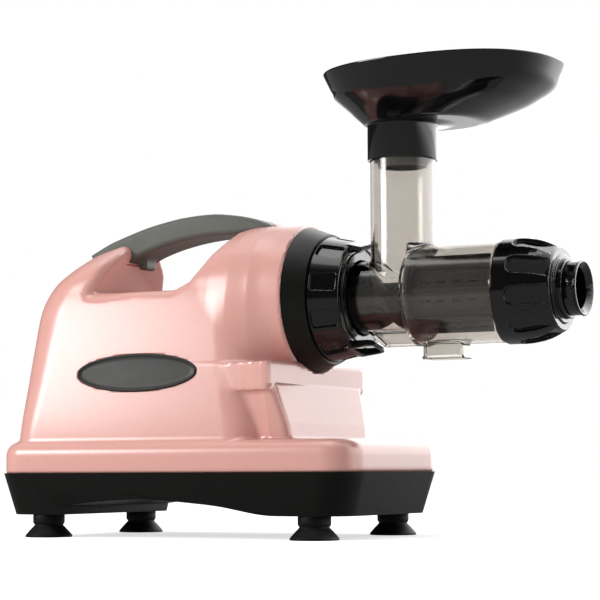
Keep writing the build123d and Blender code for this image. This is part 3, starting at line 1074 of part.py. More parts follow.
screen_start = SHOULDER + CHAMBER_SHOULDER
screen_inner = AUGER_RADIUS + 0.6
screen_outer = screen_inner + SCREEN_WALL
rib_outer = screen_outer + SCREEN_RIB
cap_bore = CAP_SPIGOT_RADIUS - DRUM_WALL
screen_end = CHAMBER_END + CAP_SPIGOT_LENGTH
frame = ring_x(chamber_bore - 0.2, screen_outer, screen_start, screen_start + 3.5, 0, DRUM_AXIS)
frame += ring_x(cap_bore - 0.2, screen_outer, screen_end - 4, screen_end, 0, DRUM_AXIS)
for index in range(SCREEN_RIBS):
    frame += sector(screen_outer, rib_outer, screen_start, screen_end, index * 360 / SCREEN_RIBS, 8)
parts["screen_frame"] = frame
mesh = ring_x(screen_outer, screen_inner, screen_start, screen_end, 0, DRUM_AXIS)
row_pitch = (screen_end - screen_start - 14) / SLOT_ROWS
for row in range(SLOT_ROWS):
    x = screen_start + 8 + (row + 0.5) * row_pitch
    for index in range(SCREEN_SLOTS // 2):
        angle = (index + 0.5) * 360 / SCREEN_SLOTS
        slot = Box(SLOT_LENGTH, 2 * screen_outer + 2, SLOT_WIDTH)
        mesh -= Pos(x, 0, DRUM_AXIS) * Rot(angle, 0, 0) * slot
parts["screen_mesh"] = mesh

# ================================================================ end cap and outlet
cap_start = CHAMBER_END + SEAT_GAP
chamber_face = screen_end + SEAT_GAP
cone_start = auger_end + 6
cone_end = CAP_FRONT - OUTLET_INSERTION + 4
cap = turned_x([(cap_start, 0), (cap_start, CAP_RADIUS - 0.8), (cap_start + 1, CAP_RADIUS),
                (cap_start + CAP_STRAIGHT, CAP_RADIUS), (cap_start + CAP_BEND, CAP_MIDDLE_RADIUS),
                (CAP_FRONT - CAP_NOSE, CAP_FRONT_RADIUS + CAP_NOSE_DROP),
                (CAP_FRONT, CAP_FRONT_RADIUS), (CAP_FRONT, 0)], DRUM_AXIS)
for radius, length in NECK_STEPS:
    cap += rod_x(radius, CAP_FRONT - 1, CAP_FRONT + length, 0, DRUM_AXIS)
flute_start = cap_start + FLUTE_SETBACK
for index in range(CAP_FLUTES):
    pocket = Pos(flute_start + 25, 0, CAP_RADIUS - FLUTE_DEPTH + 10) * Box(50, FLUTE_WIDTH, 20)
    pocket = fillet(pocket.edges().filter_by(Axis.Z).group_by(Axis.X)[0], 3)
    lean = degrees(atan2(CAP_RADIUS - CAP_FRONT_RADIUS - CAP_NOSE_DROP, CAP_LENGTH - FLUTE_SETBACK))
    hinge = Pos(flute_start, 0, CAP_RADIUS) * Rot(0, lean, 0) * Pos(-flute_start, 0, -CAP_RADIUS)
    cap -= Pos(0, 0, DRUM_AXIS) * Rot(index * 360 / CAP_FLUTES + FLUTE_PHASE, 0, 0) * hinge * pocket
cap -= rod_x(CAP_SPIGOT_RADIUS + TURN_CLEARANCE, cap_start - 1, chamber_face, 0, DRUM_AXIS)
cap_groove = (cap_lug_start - 0.4, cap_lug_start + CAP_LUG_WIDTH + 0.4)
cap_groove_radius = CAP_SPIGOT_RADIUS + CAP_LUG_HEIGHT + TURN_CLEARANCE
cap -= rod_x(cap_groove_radius, *cap_groove, 0, DRUM_AXIS)
for angle in lug_angles:
    cap -= sector(CAP_SPIGOT_RADIUS - 1, cap_groove_radius, cap_start - 1, cap_groove[1],
                  angle + CAP_TURN, LUG_ANGLE)
cap -= turned_x([(chamber_face - 1, 0), (chamber_face - 1, AUGER_RADIUS + 0.6),
                 (cone_start, AUGER_RADIUS + 0.6), (cone_end, OUTLET_RADIUS + TURN_CLEARANCE),
                 (OUTLET_TIP, OUTLET_RADIUS + TURN_CLEARANCE),
                 (OUTLET_TIP, 0)], DRUM_AXIS)
cap -= rod_x(GUIDE_GROOVE_RADIUS + TURN_CLEARANCE, CAP_FRONT - 6.3, CAP_FRONT - 3.7, 0, DRUM_AXIS)
parts["end_cap"] = cap
tube_back = CAP_FRONT + NECK_STEPS[-1][1] + SEAT_GAP
outlet = turned_x([(cone_end + 0.5, OUTLET_BORE), (cone_end + 0.5, OUTLET_RADIUS),
                   (CAP_FRONT - 6, OUTLET_RADIUS), (CAP_FRONT - 6, GUIDE_GROOVE_RADIUS),
                   (CAP_FRONT - 4, GUIDE_GROOVE_RADIUS), (CAP_FRONT - 4, OUTLET_RADIUS),
                   (tube_back, OUTLET_RADIUS), (tube_back, OUTLET_TUBE_RADIUS),
                   (OUTLET_TIP - OUTLET_RIM_WIDTH, OUTLET_TUBE_RADIUS),
                   (OUTLET_TIP - OUTLET_RIM_WIDTH + 0.5, OUTLET_RIM_RADIUS),
                   (OUTLET_TIP - 0.6, OUTLET_RIM_RADIUS), (OUTLET_TIP, OUTLET_RIM_RADIUS - 0.6),
                   (OUTLET_TIP, OUTLET_RIM_RADIUS - 1.6),
                   (OUTLET_TIP - OUTLET_FLARE, OUTLET_BORE)], DRUM_AXIS)
parts["outlet_nozzle"] = outlet


# ================================================================ hopper tray
def tray_outline(inset, height, shift):
    """Egg-shaped closed outline, wider towards the front."""
    half_length = TRAY_HALF_LENGTH - inset
    half_width = TRAY_HALF_WIDTH - TRAY_SIDE_SHARE * inset
    centre = chute_x + TRAY_OFFSET - shift
    points = []
    for step in range(TRAY_POINTS):
        turn = 2 * pi * step / TRAY_POINTS
        along = copysign(abs(cos(turn))**(2 / TRAY_POWER), cos(turn))
        across = copysign(abs(sin(turn))**(2 / TRAY_POWER), sin(turn))
        points.append((centre + half_length * along, half_width * across * (1 + TRAY_EGG * along), height))
    return make_face(Spline(*points, periodic=True))


def tray_bowl(wall, lift):
    """Bowl drawn in by `wall` all round and raised by `lift`."""
    rows = [tray_outline(inset + wall, TRAY_RIM - depth + lift, shift)
            for inset, depth, shift in TRAY_SECTIONS]
    return loft(rows, ruled=True)


bowl_bottom = TRAY_RIM - TRAY_SECTIONS[-1][1]
tray = tray_bowl(0, 0) + rod_z(TRAY_COLLAR_RADIUS, TRAY_COLLAR_BOTTOM, bowl_bottom + 1, chute_x)
tray -= rod_z(CHUTE_RADIUS + 0.3, TRAY_COLLAR_BOTTOM - 1, CHUTE_TOP + SEAT_GAP, chute_x)
tray += rod_z(THROAT_RADIUS, THROAT_BOTTOM, CHUTE_TOP + 1, chute_x)
tray -= tray_bowl(TRAY_WALL, TRAY_FLOOR_LIFT)
tray -= rod_z(THROAT_RADIUS - THROAT_WALL, THROAT_BOTTOM - 1, bowl_bottom + 5, chute_x)
parts["hopper_tray"] = tray

for name, shape in parts.items():
    export_step(shape, f"parts/{name}.step")
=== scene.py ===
"""Cold press juicer: moulded shell, base, locking ring, smoked drum, end cap and hopper tray.

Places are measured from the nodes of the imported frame.  Sizes in this file are millimetres
until a mesh is made, and metres in Blender.
"""
from math import atan2, ceil, copysign, cos, pi, radians, sin

import bmesh
import bpy
import numpy as np
from mathutils import Matrix, Vector


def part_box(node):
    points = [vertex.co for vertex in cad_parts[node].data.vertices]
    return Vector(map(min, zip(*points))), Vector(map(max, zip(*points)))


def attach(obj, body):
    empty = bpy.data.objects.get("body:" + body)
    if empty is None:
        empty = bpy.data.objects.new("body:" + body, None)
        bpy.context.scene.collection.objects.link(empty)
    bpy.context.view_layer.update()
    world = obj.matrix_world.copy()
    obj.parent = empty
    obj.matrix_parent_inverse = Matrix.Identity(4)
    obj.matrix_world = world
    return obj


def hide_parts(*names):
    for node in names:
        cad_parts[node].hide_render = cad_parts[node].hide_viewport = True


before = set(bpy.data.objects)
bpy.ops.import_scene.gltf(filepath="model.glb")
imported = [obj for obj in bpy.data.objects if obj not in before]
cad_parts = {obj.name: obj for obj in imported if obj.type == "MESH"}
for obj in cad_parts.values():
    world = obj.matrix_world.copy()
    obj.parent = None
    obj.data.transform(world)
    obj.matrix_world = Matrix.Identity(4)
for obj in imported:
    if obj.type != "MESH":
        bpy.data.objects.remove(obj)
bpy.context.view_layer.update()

bl_info = {
    "name": "Cold press juicer",
    "version": (1, 0, 0),
    "blender": (4, 5, 0),
    "location": "View3D > Sidebar > Juicer",
    "description": "Builds the looks of a horizontal cold press juicer round its packed frame",
    "category": "Object",
}


# ---- places from the frame
def corners(node):
    """Lowest and highest corner of a CAD node, in millimetres."""
    low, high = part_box(node)
    return [v * 1000 for v in low], [v * 1000 for v in high]


BASE_LOW, BASE_HIGH = corners("lower_base")
REAR = BASE_LOW[0]
SEAM = BASE_HIGH[2]
NECK_FRONT = corners("front_collar")[0][0]
HUB_START = NECK_FRONT + 16.6
FLANGE_START = HUB_START + 10.3
RING_WIDTH = 23.7
RING_START = corners("locking_ring")[0][0]
RING_END = RING_START + RING_WIDTH
SPIGOT = 7.0                    # rim of the drum inside the end cap
CHAMBER_END = corners("drum")[1][0] - SPIGOT
SHOULDER = CHAMBER_END - 71.0
CHUTE_LOW, CHUTE_HIGH = corners("feed_chute")
CHUTE_X = (CHUTE_LOW[0] + CHUTE_HIGH[0]) / 2
CAP_START = corners("end_cap")[0][0]
OUTLET_LOW, OUTLET_HIGH = corners("outlet_nozzle")
DRUM_AXIS = (OUTLET_LOW[2] + OUTLET_HIGH[2]) / 2
CAP_FRONT = CHAMBER_END + 41.6
CAP_RADIUS = 38.3
DRUM_RADIUS = 37.0              # chamber and flange
TUBE_RADIUS = 27.0
CHUTE_RADIUS = 24.3
CHUTE_BORE = 21.7
RING_RADIUS = 47.0
LEVER_HALF_WIDTH = 12.8
RING_DROP = 5.0                 # how much narrower the ring is in front
STATIONS = 10                   # windows round the ring, flutes round the cap
TRAY_RIM = corners("hopper_tray")[1][2]
BODY_REAR = REAR + 9.0
BODY_FRONT = REAR + 224.0
BODY_BOTTOM = SEAM + 8.0
CROWN = 232.5
NECK_RADIUS = 56.5
NECK_LENGTH = 62
BODY_HALF_WIDTH = 76.5
BAND_TOP = SEAM + 23.7
BAND_HALF_WIDTH = 81.3
BIB_CREASE = 107.5
BIB_TOP = 128.0
BIB_HALF_WIDTH = 79.0


def linear(red, green, blue):
    """A paint-chart colour, 0 to 255, as the linear colour that a shader takes."""
    shares = [channel / 255 for channel in (red, green, blue)]
    return tuple(s / 12.92 if s <= 0.04045 else ((s + 0.055) / 1.055) ** 2.4 for s in shares)


# ---- sizes and colours
def length_setting(name, description, default):
    return bpy.props.FloatProperty(name=name, description=description, default=default, min=0.0,
                                   soft_max=50.0, subtype="DISTANCE_CAMERA", precision=2)


def colour_setting(name, description, default):
    return bpy.props.FloatVectorProperty(name=name, description=description, default=default,
                                         subtype="COLOR", size=3, min=0.0, max=1.0)


class JuicerSizes(bpy.types.PropertyGroup):
    """Sizes of the moulded forms, in millimetres."""

    neck_flare: length_setting("Neck flare", "Radius that blends the body into the neck", 16.0)
    bib_blend: length_setting("Bib blend", "Radius where the pedestal meets the body", 3.0)
    shell_wall: length_setting("Shell wall", "Thickness of the moulded shell", 3.0)
    shell_step: length_setting("Shell mesh", "Size of the faces of the shell", 2.5)
    ring_step: length_setting("Ring mesh", "Size of the faces of the ring and cap", 0.9)
    window_depth: length_setting("Window depth", "Depth of the windows in the locking ring", 2.6)
    flute_depth: length_setting("Flute depth", "Depth of the flutes in the end cap", 2.2)
    grip_rounding: length_setting("Grip rounding", "Radius along the edges of the handle", 3.5)


class JuicerColours(bpy.types.PropertyGroup):
    """Colours of the finishes."""

    shell: colour_setting("Shell", "Pale rose shell", linear(221, 164, 154))
    base: colour_setting("Base", "Black lower base", linear(14, 13, 11))
    grip: colour_setting("Grip", "Charcoal handle", linear(92, 94, 88))
    drum: colour_setting("Drum", "Smoked clear drum", (0.71, 0.68, 0.64))
    ring: colour_setting("Ring", "Gloss black ring, cap and tray", linear(9, 8, 9))
    plate: colour_setting("Plate", "Bare oval plate", linear(35, 33, 30))
    backdrop: colour_setting("Backdrop", "Floor and background", (0.98, 0.98, 0.98))


# ---- finishes
SMEAR_SHARE = 2.3               # how much finer the uneven gloss is than the clouds of colour
GRAIN_STRENGTH = 0.5
RIDGE_DEPTH = 0.2
PLASTIC_IOR = 1.46


def nodes_of(material):
    material.use_nodes = True
    tree = material.node_tree
    shader = tree.nodes["Principled BSDF"]
    return tree, shader


def feed(tree, node, inputs):
    """Give each named input of a node a value or the output of another node."""
    for name, value in inputs.items():
        if isinstance(value, bpy.types.NodeSocket):
            tree.links.new(value, node.inputs[name])
        else:
            node.inputs[name].default_value = value


def added(tree, kind, inputs, **settings):
    """New shader node with its settings and inputs."""
    node = tree.nodes.new("ShaderNode" + kind)
    for name, value in settings.items():
        setattr(node, name, value)
    feed(tree, node, inputs)
    return node


def noise(tree, scale, detail):
    """Noise on object coordinates, as a socket."""
    place = added(tree, "TexCoord", {}).outputs["Object"]
    return added(tree, "TexNoise", {"Vector": place, "Scale": scale, "Detail": detail}).outputs["Fac"]


def bumped(tree, height, strength, depth):
    """Normal of a surface with a bump `depth` mm deep, as a socket."""
    return added(tree, "Bump", {"Height": height, "Strength": strength,
                                "Distance": depth / 1000}).outputs["Normal"]


def moulded(name, colour, roughness, grain=1400.0, depth=0.012, mottle=0.04, cloud=45.0, spread=0.05,
            metallic=0.0, transmission=0.0, specular=0.5):
    """Moulded or cast finish: cloudy colour, uneven gloss and a fine surface grain."""
    material = bpy.data.materials.new(name)
    tree, shader = nodes_of(material)
    tint = added(tree, "ValToRGB", {"Fac": noise(tree, cloud, 3.0)})
    tint.color_ramp.interpolation = "EASE"
    for end, position, share in zip(tint.color_ramp.elements, (0.2, 0.8), (1 - mottle, 1 + mottle)):
        end.position = position
        end.color = (*[min(1.0, channel * share) for channel in colour], 1)
    polish = added(tree, "MapRange", {"Value": noise(tree, cloud * SMEAR_SHARE, 2.0),
                                      "To Min": max(0.02, roughness - spread),
                                      "To Max": min(1.0, roughness + spread)})
    feed(tree, shader, {"Base Color": tint.outputs["Color"], "Roughness": polish.outputs["Result"],
                        "Metallic": metallic, "Transmission Weight": transmission, "IOR": PLASTIC_IOR,
                        "Specular IOR Level": specular})
    if depth:
        feed(tree, shader, {"Normal": bumped(tree, noise(tree, grain, 2.0), GRAIN_STRENGTH, depth)})
    return material


def striped(name, colour, roughness, pitch, axis):
    """Metal with fine parallel ridges: wound wire or stacked sheets, `pitch` mm apart."""
    material = moulded(name, colour, roughness, metallic=1.0, depth=0.0)
    tree, shader = nodes_of(material)
    ridges = added(tree, "TexWave", {"Vector": added(tree, "TexCoord", {}).outputs["Object"],
                                     "Scale": 1000 / pitch / 6.2832 * 2, "Distortion": 0.4},
                   bands_direction=axis)
    feed(tree, shader, {"Normal": bumped(tree, ridges.outputs["Fac"], 1.0, RIDGE_DEPTH)})
    return material


FINISHES = {}


def make_finishes(colours):
    """One material for each slot of the record."""
    ring = tuple(colours.ring)
    FINISHES.update({
        "shell_pink": moulded("rose_shell", tuple(colours.shell), 0.27, grain=420, depth=0.004,
                              mottle=0.012, cloud=170, spread=0.0, specular=0.9),
        "base_black": moulded("base_plastic", tuple(colours.base), 0.5, grain=1500, depth=0.03,
                              specular=0.18),
        "foot_rubber": moulded("foot_rubber", linear(14, 14, 14), 0.6, grain=1100, depth=0.03,
                               specular=0.2),
        "screw_steel": moulded("zinc_screw", linear(168, 170, 172), 0.3, metallic=1.0, depth=0.006),
        "handle_charcoal": moulded("grip_plastic", tuple(colours.grip), 0.5, grain=900, depth=0.04,
                                   mottle=0.08, cloud=90, specular=0.4),
        "plate_black": moulded("plate_enamel", tuple(colours.plate), 0.35, grain=2000, depth=0.008,
                               specular=0.3),
        "collar_black": moulded("collar_plastic", linear(17, 18, 15), 0.45, grain=900, depth=0.05, mottle=0.1,
                                specular=0.3),
        "switch_black": moulded("switch_frame_plastic", linear(22, 22, 23), 0.4, depth=0.015),
        "rocker_red": moulded("rocker_plastic", linear(26, 26, 28), 0.3, depth=0.008),
        "bracket_steel": moulded("bracket_zinc", linear(186, 184, 176), 0.38, metallic=1.0, cloud=160,
                                 mottle=0.12),
        "core_steel": striped("core_sheets", linear(120, 122, 126), 0.4, 0.5, "X"),
        "winding_copper": striped("winding_wire", linear(190, 110, 62), 0.32, 0.9, "X"),
        "bell_aluminium": moulded("cast_bell", linear(180, 182, 184), 0.45, metallic=1.0, grain=700,
                                  depth=0.06),
        "bushing_bronze": moulded("bushing_bronze", linear(176, 128, 78), 0.35, metallic=1.0),
        "shaft_steel": moulded("ground_shaft", linear(190, 192, 195), 0.22, metallic=1.0, depth=0.004),
        "fan_plastic": moulded("fan_plastic", linear(60, 62, 66), 0.5),
        "case_aluminium": moulded("cast_case", linear(172, 174, 176), 0.5, metallic=1.0, grain=600,
                                  depth=0.08),
        "gear_nylon": moulded("gear_nylon", linear(226, 220, 204), 0.45, depth=0.01),
        "seal_rubber": moulded("seal_rubber", linear(28, 28, 28), 0.6),
        "capacitor_can": moulded("capacitor_can", linear(206, 206, 202), 0.4, depth=0.01),
        "terminal_white": moulded("terminal_plastic", linear(228, 226, 218), 0.5),
        "drum_smoke": moulded("smoked_drum", tuple(colours.drum), 0.04, depth=0.0, mottle=0.02, spread=0.02,
                              transmission=1.0),
        "ring_black": moulded("gloss_black", ring, 0.1, grain=380, depth=0.002, spread=0.03, specular=0.7),
        "auger_charcoal": moulded("auger_plastic", linear(26, 23, 22), 0.45, grain=900, depth=0.02,
                                  specular=0.3),
        "insert_grey": moulded("insert_plastic", linear(92, 90, 86), 0.45),
        "screen_amber": moulded("screen_amber", linear(44, 35, 28), 0.4, transmission=0.2),
        "screen_steel": moulded("screen_steel", linear(52, 49, 46), 0.4, metallic=1.0, grain=300, depth=0.05),
        "tray_black": moulded("tray_gloss", ring, 0.1, grain=500, depth=0.002, spread=0.03, specular=0.7),
    })


# ---- distance forms
def join(a, b, radius=0.0):
    """Union of two distances, with a fillet."""
    if np.ndim(radius) == 0 and radius <= 0:
        return np.minimum(a, b)
    corner = np.hypot(np.maximum(radius - a, 0), np.maximum(radius - b, 0))
    return np.maximum(radius, np.minimum(a, b)) - corner


def meet(a, b, radius=0.0):
    """Common part of two distances, with a rounded edge."""
    return -join(-a, -b, radius)


def cut(a, b, radius=0.0):
    """First distance less the second, with a rounded edge."""
    return -join(-a, b, radius)


def slab(value, low, high):
    return np.maximum(low - value, value - high)


def boxed(u, v, half_u, half_v, corner):
    """Distance to a rounded rectangle about the middle."""
    qu, qv = np.abs(u) - half_u + corner, np.abs(v) - half_v + corner
    return np.hypot(np.maximum(qu, 0), np.maximum(qv, 0)) + np.minimum(np.maximum(qu, qv), 0) - corner


def rounded_plan(x, y, x_low, x_high, half_width, corner):
    """Distance to a rounded rectangle that is centred on the middle plane."""
    return boxed(x - (x_low + x_high) / 2, y, (x_high - x_low) / 2, half_width, corner)


def outline_distance(u, v, points):
    """Signed distance to a closed outline of (u, v) points."""
    best = np.full(u.shape, np.inf)
    inside = np.zeros(u.shape, bool)
    for (u0, v0), (u1, v1) in zip(points, points[1:] + points[:1]):
        du, dv = u1 - u0, v1 - v0
        share = np.clip(((u - u0) * du + (v - v0) * dv) / (du * du + dv * dv), 0, 1)
        best = np.minimum(best, (u - u0 - share * du) ** 2 + (v - v0 - share * dv) ** 2)
        crosses = (v0 <= v) != (v1 <= v)
        with np.errstate(divide="ignore", invalid="ignore"):
            inside ^= crosses & (u < u0 + (v - v0) * du / (dv if dv else 1e-12))
    return np.where(inside, -1, 1) * np.sqrt(best)


def polar(y, z):
    """Distance from the drum's axis, and the angle from straight up towards -Y."""
    return np.hypot(y, z - DRUM_AXIS), np.arctan2(-y, z - DRUM_AXIS)


def folded(angle, count, first):
    """Angle measured from the nearest of `count` equal stations."""
    pitch = 2 * pi / count
    return (angle - radians(first) + pitch / 2) % pitch - pitch / 2


def smooth_table(rows, column, count=400):
    """Column of a section table, drawn through its rows without kinks."""
    at = np.array([row[0] for row in rows])
    value = np.array([row[column] for row in rows])
    slope = np.gradient(value, at)
    for k in range(1, len(at) - 1):
        if (value[k] - value[k - 1]) * (value[k + 1] - value[k]) <= 0:
            slope[k] = 0
    fine = np.linspace(at[0], at[-1], count)
    k = np.clip(np.searchsorted(at, fine, side="right") - 1, 0, len(at) - 2)
    gap = at[k + 1] - at[k]
    t = (fine - at[k]) / gap
    blend = ((2 * t**3 - 3 * t**2 + 1) * value[k] + (t**3 - 2 * t**2 + t) * gap * slope[k]
             + (3 * t**2 - 2 * t**3) * value[k + 1] + (t**3 - t**2) * gap * slope[k + 1])
    return fine, blend


def skin_of(field, low, high, step, passes=3):
    """Quad skin of field(points) = 0 inside a box: points, faces and smooth normals."""
    counts = [int(ceil((b - a) / step)) + 1 for a, b in zip(low, high)]
    axes = [a + step * np.arange(n) for a, n in zip(low, counts)]
    value = np.empty(counts)
    across = np.stack(np.meshgrid(axes[1], axes[2], indexing="ij"), -1).reshape(-1, 2)
    for i in range(0, counts[0], 16):
        some = axes[0][i:i + 16]
        points = np.concatenate([np.repeat(some, len(across))[:, None], np.tile(across, (len(some), 1))], 1)
        value[i:i + 16] = field(points).reshape(len(some), counts[1], counts[2])
    value[value == 0] = 1e-9
    total = np.zeros((*[n - 1 for n in counts], 3))
    hits = np.zeros([n - 1 for n in counts])
    edges = []
    for axis in range(3):
        u, v = (axis + 1) % 3, (axis + 2) % 3
        first = value.take(range(counts[axis] - 1), axis)
        second = value.take(range(1, counts[axis]), axis)
        index = np.argwhere((first < 0) != (second < 0))
        a, b = first[tuple(index.T)], second[tuple(index.T)]
        point = index.astype(float)
        point[:, axis] += a / (a - b)
        around = []
        for du, dv in ((-1, -1), (0, -1), (0, 0), (-1, 0)):
            cell = index.copy()
            cell[:, u] += du
            cell[:, v] += dv
            np.add.at(total, tuple(cell.T), point)
            np.add.at(hits, tuple(cell.T), 1)
            around.append(cell)
        edges.append((around, a < 0))
    used = hits > 0
    number = np.full(hits.shape, -1)
    number[used] = np.arange(used.sum())
    points = np.array(low) + step * total[used] / hits[used][:, None]
    faces = []
    for around, outward in edges:
        quads = np.stack([number[tuple(cell.T)] for cell in around], 1)
        quads[~outward] = quads[~outward][:, ::-1]
        faces.append(quads)
    reach = 0.05 * step

    def slope_at(at):
        middle = field(at)
        rise = [field(at + reach * np.eye(3)[k]) - middle for k in range(3)]
        return middle, np.stack(rise, 1) / reach

    for _ in range(passes):
        distance, slope = slope_at(points)
        size = np.maximum((slope**2).sum(1), 0.04)
        move = np.clip(distance / size, -0.4 * step, 0.4 * step)
        points = points - move[:, None] * slope
    slope = slope_at(points)[1]
    normals = slope / np.maximum(np.linalg.norm(slope, axis=1), 1e-9)[:, None]
    return points, np.concatenate(faces), normals


# ---- mesh helpers
def placed(name, data):
    """New object in the scene."""
    obj = bpy.data.objects.new(name, data)
    bpy.context.scene.collection.objects.link(obj)
    return obj


def new_object(name, points, faces, normals=None):
    """Mesh object from points in millimetres."""
    mesh = bpy.data.meshes.new(name)
    mesh.from_pydata([tuple(p) for p in np.asarray(points) / 1000], [],
                     [tuple(int(i) for i in face) for face in faces])
    mesh.validate()
    mesh.update()
    mesh.polygons.foreach_set("use_smooth", [True] * len(mesh.polygons))
    if normals is not None:
        mesh.normals_split_custom_set_from_vertices([tuple(n) for n in normals])
    return placed(name, mesh)


def moulding(name, field, low, high, step):
    """Object whose skin is where the distance field is zero."""
    return new_object(name, *skin_of(field, low, high, step))


def turns_of(count):
    """Evenly spread angles of a full turn."""
    return [2 * pi * k / count for k in range(count)]


def lofted(name, rings, closed=False):
    """Skin through rings of equal length; `closed` joins the last ring to the first."""
    count = len(rings[0])
    points = [p for ring in rings for p in ring]
    faces = []
    pairs = list(zip(range(len(rings)), range(1, len(rings))))
    if closed:
        pairs.append((len(rings) - 1, 0))
    for a, b in pairs:
        for k in range(count):
            n = (k + 1) % count
            faces.append((a * count + k, a * count + n, b * count + n, b * count + k))
    if not closed:
        faces.append(tuple(range(count))[::-1])
        faces.append(tuple((len(rings) - 1) * count + k for k in range(count)))
    obj = new_object(name, points, faces)
    face_out(obj)
    return obj


def face_out(obj):
    bm = bmesh.new()
    bm.from_mesh(obj.data)
    bmesh.ops.recalc_face_normals(bm, faces=bm.faces)
    bm.to_mesh(obj.data)
    bm.free()


def prism_y(name, outline, low, high):
    """Outline of (x, z) points between two values of Y."""
    return lofted(name, [[(x, y, z) for x, z in outline] for y in (low, high)])


def rod_x(name, radius, start, end, y, z, count=64):
    return lofted(name, [[(x, y + radius * sin(t), z + radius * cos(t)) for t in turns_of(count)]
                         for x in (start, end)])


def block(name, x_span, y_span, z_span):
    (x0, x1), (y0, y1), (z0, z1) = x_span, y_span, z_span
    return prism_y(name, [(x0, z0), (x1, z0), (x1, z1), (x0, z1)], y0, y1)


def taken(obj):
    """Apply every modifier to a plain mesh."""
    view = bpy.context.evaluated_depsgraph_get()
    view.update()
    mesh = bpy.data.meshes.new_from_object(obj.evaluated_get(view))
    old = obj.data
    obj.modifiers.clear()
    obj.data = mesh
    bpy.data.meshes.remove(old)


def carve(obj, cutters):
    """Take cutters out of a closed piece, and remove them."""
    bm = bmesh.new()
    for cutter in cutters:
        bm.from_mesh(cutter.data)
        bpy.data.objects.remove(cutter)
    mesh = bpy.data.meshes.new("cutter")
    bm.to_mesh(mesh)
    bm.free()
    tool = placed("cutter", mesh)
    step = obj.modifiers.new("carve", "BOOLEAN")
    step.operation = "DIFFERENCE"
    step.solver = "EXACT"
    step.object = tool
    taken(obj)
    bpy.data.objects.remove(tool)


def soft_copy(name, node, soften):
    """Copy of a CAD node with shared corners, smooth faces and a bevel of `soften` mm on its edges."""
    bm = bmesh.new()
    bm.from_mesh(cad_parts[node].data)
    bmesh.ops.remove_doubles(bm, verts=bm.verts, dist=2e-6)
    bmesh.ops.dissolve_limit(bm, angle_limit=radians(0.6), verts=bm.verts, edges=bm.edges)
    mesh = bpy.data.meshes.new(name)
    bm.to_mesh(mesh)
    bm.free()
    obj = placed(name, mesh)
    smooth(obj, 32)
    bevel = obj.modifiers.new("soften", "BEVEL")
    bevel.width = soften / 1000
    bevel.segments = 2
    bevel.limit_method = "ANGLE"
    bevel.angle_limit = radians(38)
    bevel.harden_normals = True
    return obj


def smooth(obj, angle):
    obj.data.polygons.foreach_set("use_smooth", [True] * len(obj.data.polygons))
    obj.data.set_sharp_from_angle(angle=radians(angle))


def settle(obj, body, slot, *nodes):
    """Give a finished piece the finish of its slot and its body, and hide the CAD nodes it stands for."""
    obj.data.materials.clear()
    obj.data.materials.append(FINISHES[slot])
    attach(obj, body)
    if nodes:
        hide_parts(*nodes)


def settle_copy(name, node, soften, body, slot):
    """Softened copy of one CAD node, in that node's place."""
    settle(soft_copy(name, node, soften), body, slot, node)


class PieceOperator(bpy.types.Operator):
    """Base of the operators that make one group of pieces."""

    bl_options = {"REGISTER", "UNDO"}

    def execute(self, context):
        if not FINISHES:
            make_finishes(context.scene.juicer_colours)
        self.make(context.scene.juicer_sizes)
        return {"FINISHED"}


# ---- upper shell
# share of the height, inset at the rear and in front, share of the width, corner radius
BODY_SECTIONS = (
    (0.000, 0.0, 0.0, 1.000, 24.0),
    (0.090, 0.0, 0.0, 0.987, 25.0),
    (0.363, 0.0, 1.0, 0.902, 34.0),
    (0.618, 0.0, 2.0, 0.784, 40.0),
    (0.731, 4.0, 2.0, 0.719, 42.0),
    (0.810, 14.0, 2.0, 0.660, 42.0),
    (0.873, 29.0, 3.0, 0.565, 38.0),
    (0.918, 42.0, 5.0, 0.428, 30.0),
    (0.958, 62.0, 10.0, 0.282, 20.0),
    (1.000, 88.0, 19.0, 0.118, 8.0),
)
BODY_TABLES = [smooth_table(BODY_SECTIONS, column) for column in range(1, 5)]
# handle and finger opening: distance from the rear, height
HANDLE_TOP = ((46, 219.0), (63, 227.0), (77, 231.8), (96, 237.5), (114, 241.4), (132, 244.1),
              (155, 245.3), (177, 243.0), (192, 239.8), (203, 236.0), (211, 232.4))
HANDLE_UNDERSIDE = ((206, 229.6), (196, 228.8), (182, 228.6), (160, 228.6), (143, 227.6),
                    (127, 225.4), (111, 222.0), (96, 217.4), (82, 211.6), (66, 209.0), (50, 210.0))
GRIP_HALF_WIDTH = 18.0
OPENING = [(REAR + x, z) for x, z in ((85, 262), (85, 216), (81, 208), (71, 186), (85, 185), (144, 185),
                                      (156, 191), (165.5, 204), (177, 228), (177, 262))]


def curve_through(points, count=60):
    """Smooth line through (x, z) points, as evenly spread points."""
    rows = [(k, x, z) for k, (x, z) in enumerate(points)]
    xs = smooth_table(rows, 1, count)[1]
    zs = smooth_table(rows, 2, count)[1]
    return list(zip(xs.tolist(), zs.tolist()))


def grip_outline():
    top = curve_through([(REAR + x, z) for x, z in HANDLE_TOP])
    under = curve_through([(REAR + x, z) for x, z in HANDLE_UNDERSIDE])
    return top + under


def body_width(x, y, z):
    share = np.clip((z - BODY_BOTTOM) / (CROWN - BODY_BOTTOM), 0, 1)
    rear, front, width, corner = [np.interp(share, *table) for table in BODY_TABLES]
    return rounded_plan(x, y, BODY_REAR + rear, BODY_FRONT - front, BODY_HALF_WIDTH * width, corner)


def body_distance(x, y, z):
    """Tapered body that is drawn in towards its crown."""
    here = body_width(x, y, z)
    slope = body_width(x, y, z + 0.5) - body_width(x, y, z - 0.5)
    return meet(here / np.sqrt(1 + slope**2), z - CROWN, 3.0)


# place against the neck's front, and how much narrower each side of the pedestal is there
BIB_FLARE = ((-75, 13.0), (-45, 11.0), (-25, 7.5), (-10, 3.0), (-3, 0.0), (0, 0.0))


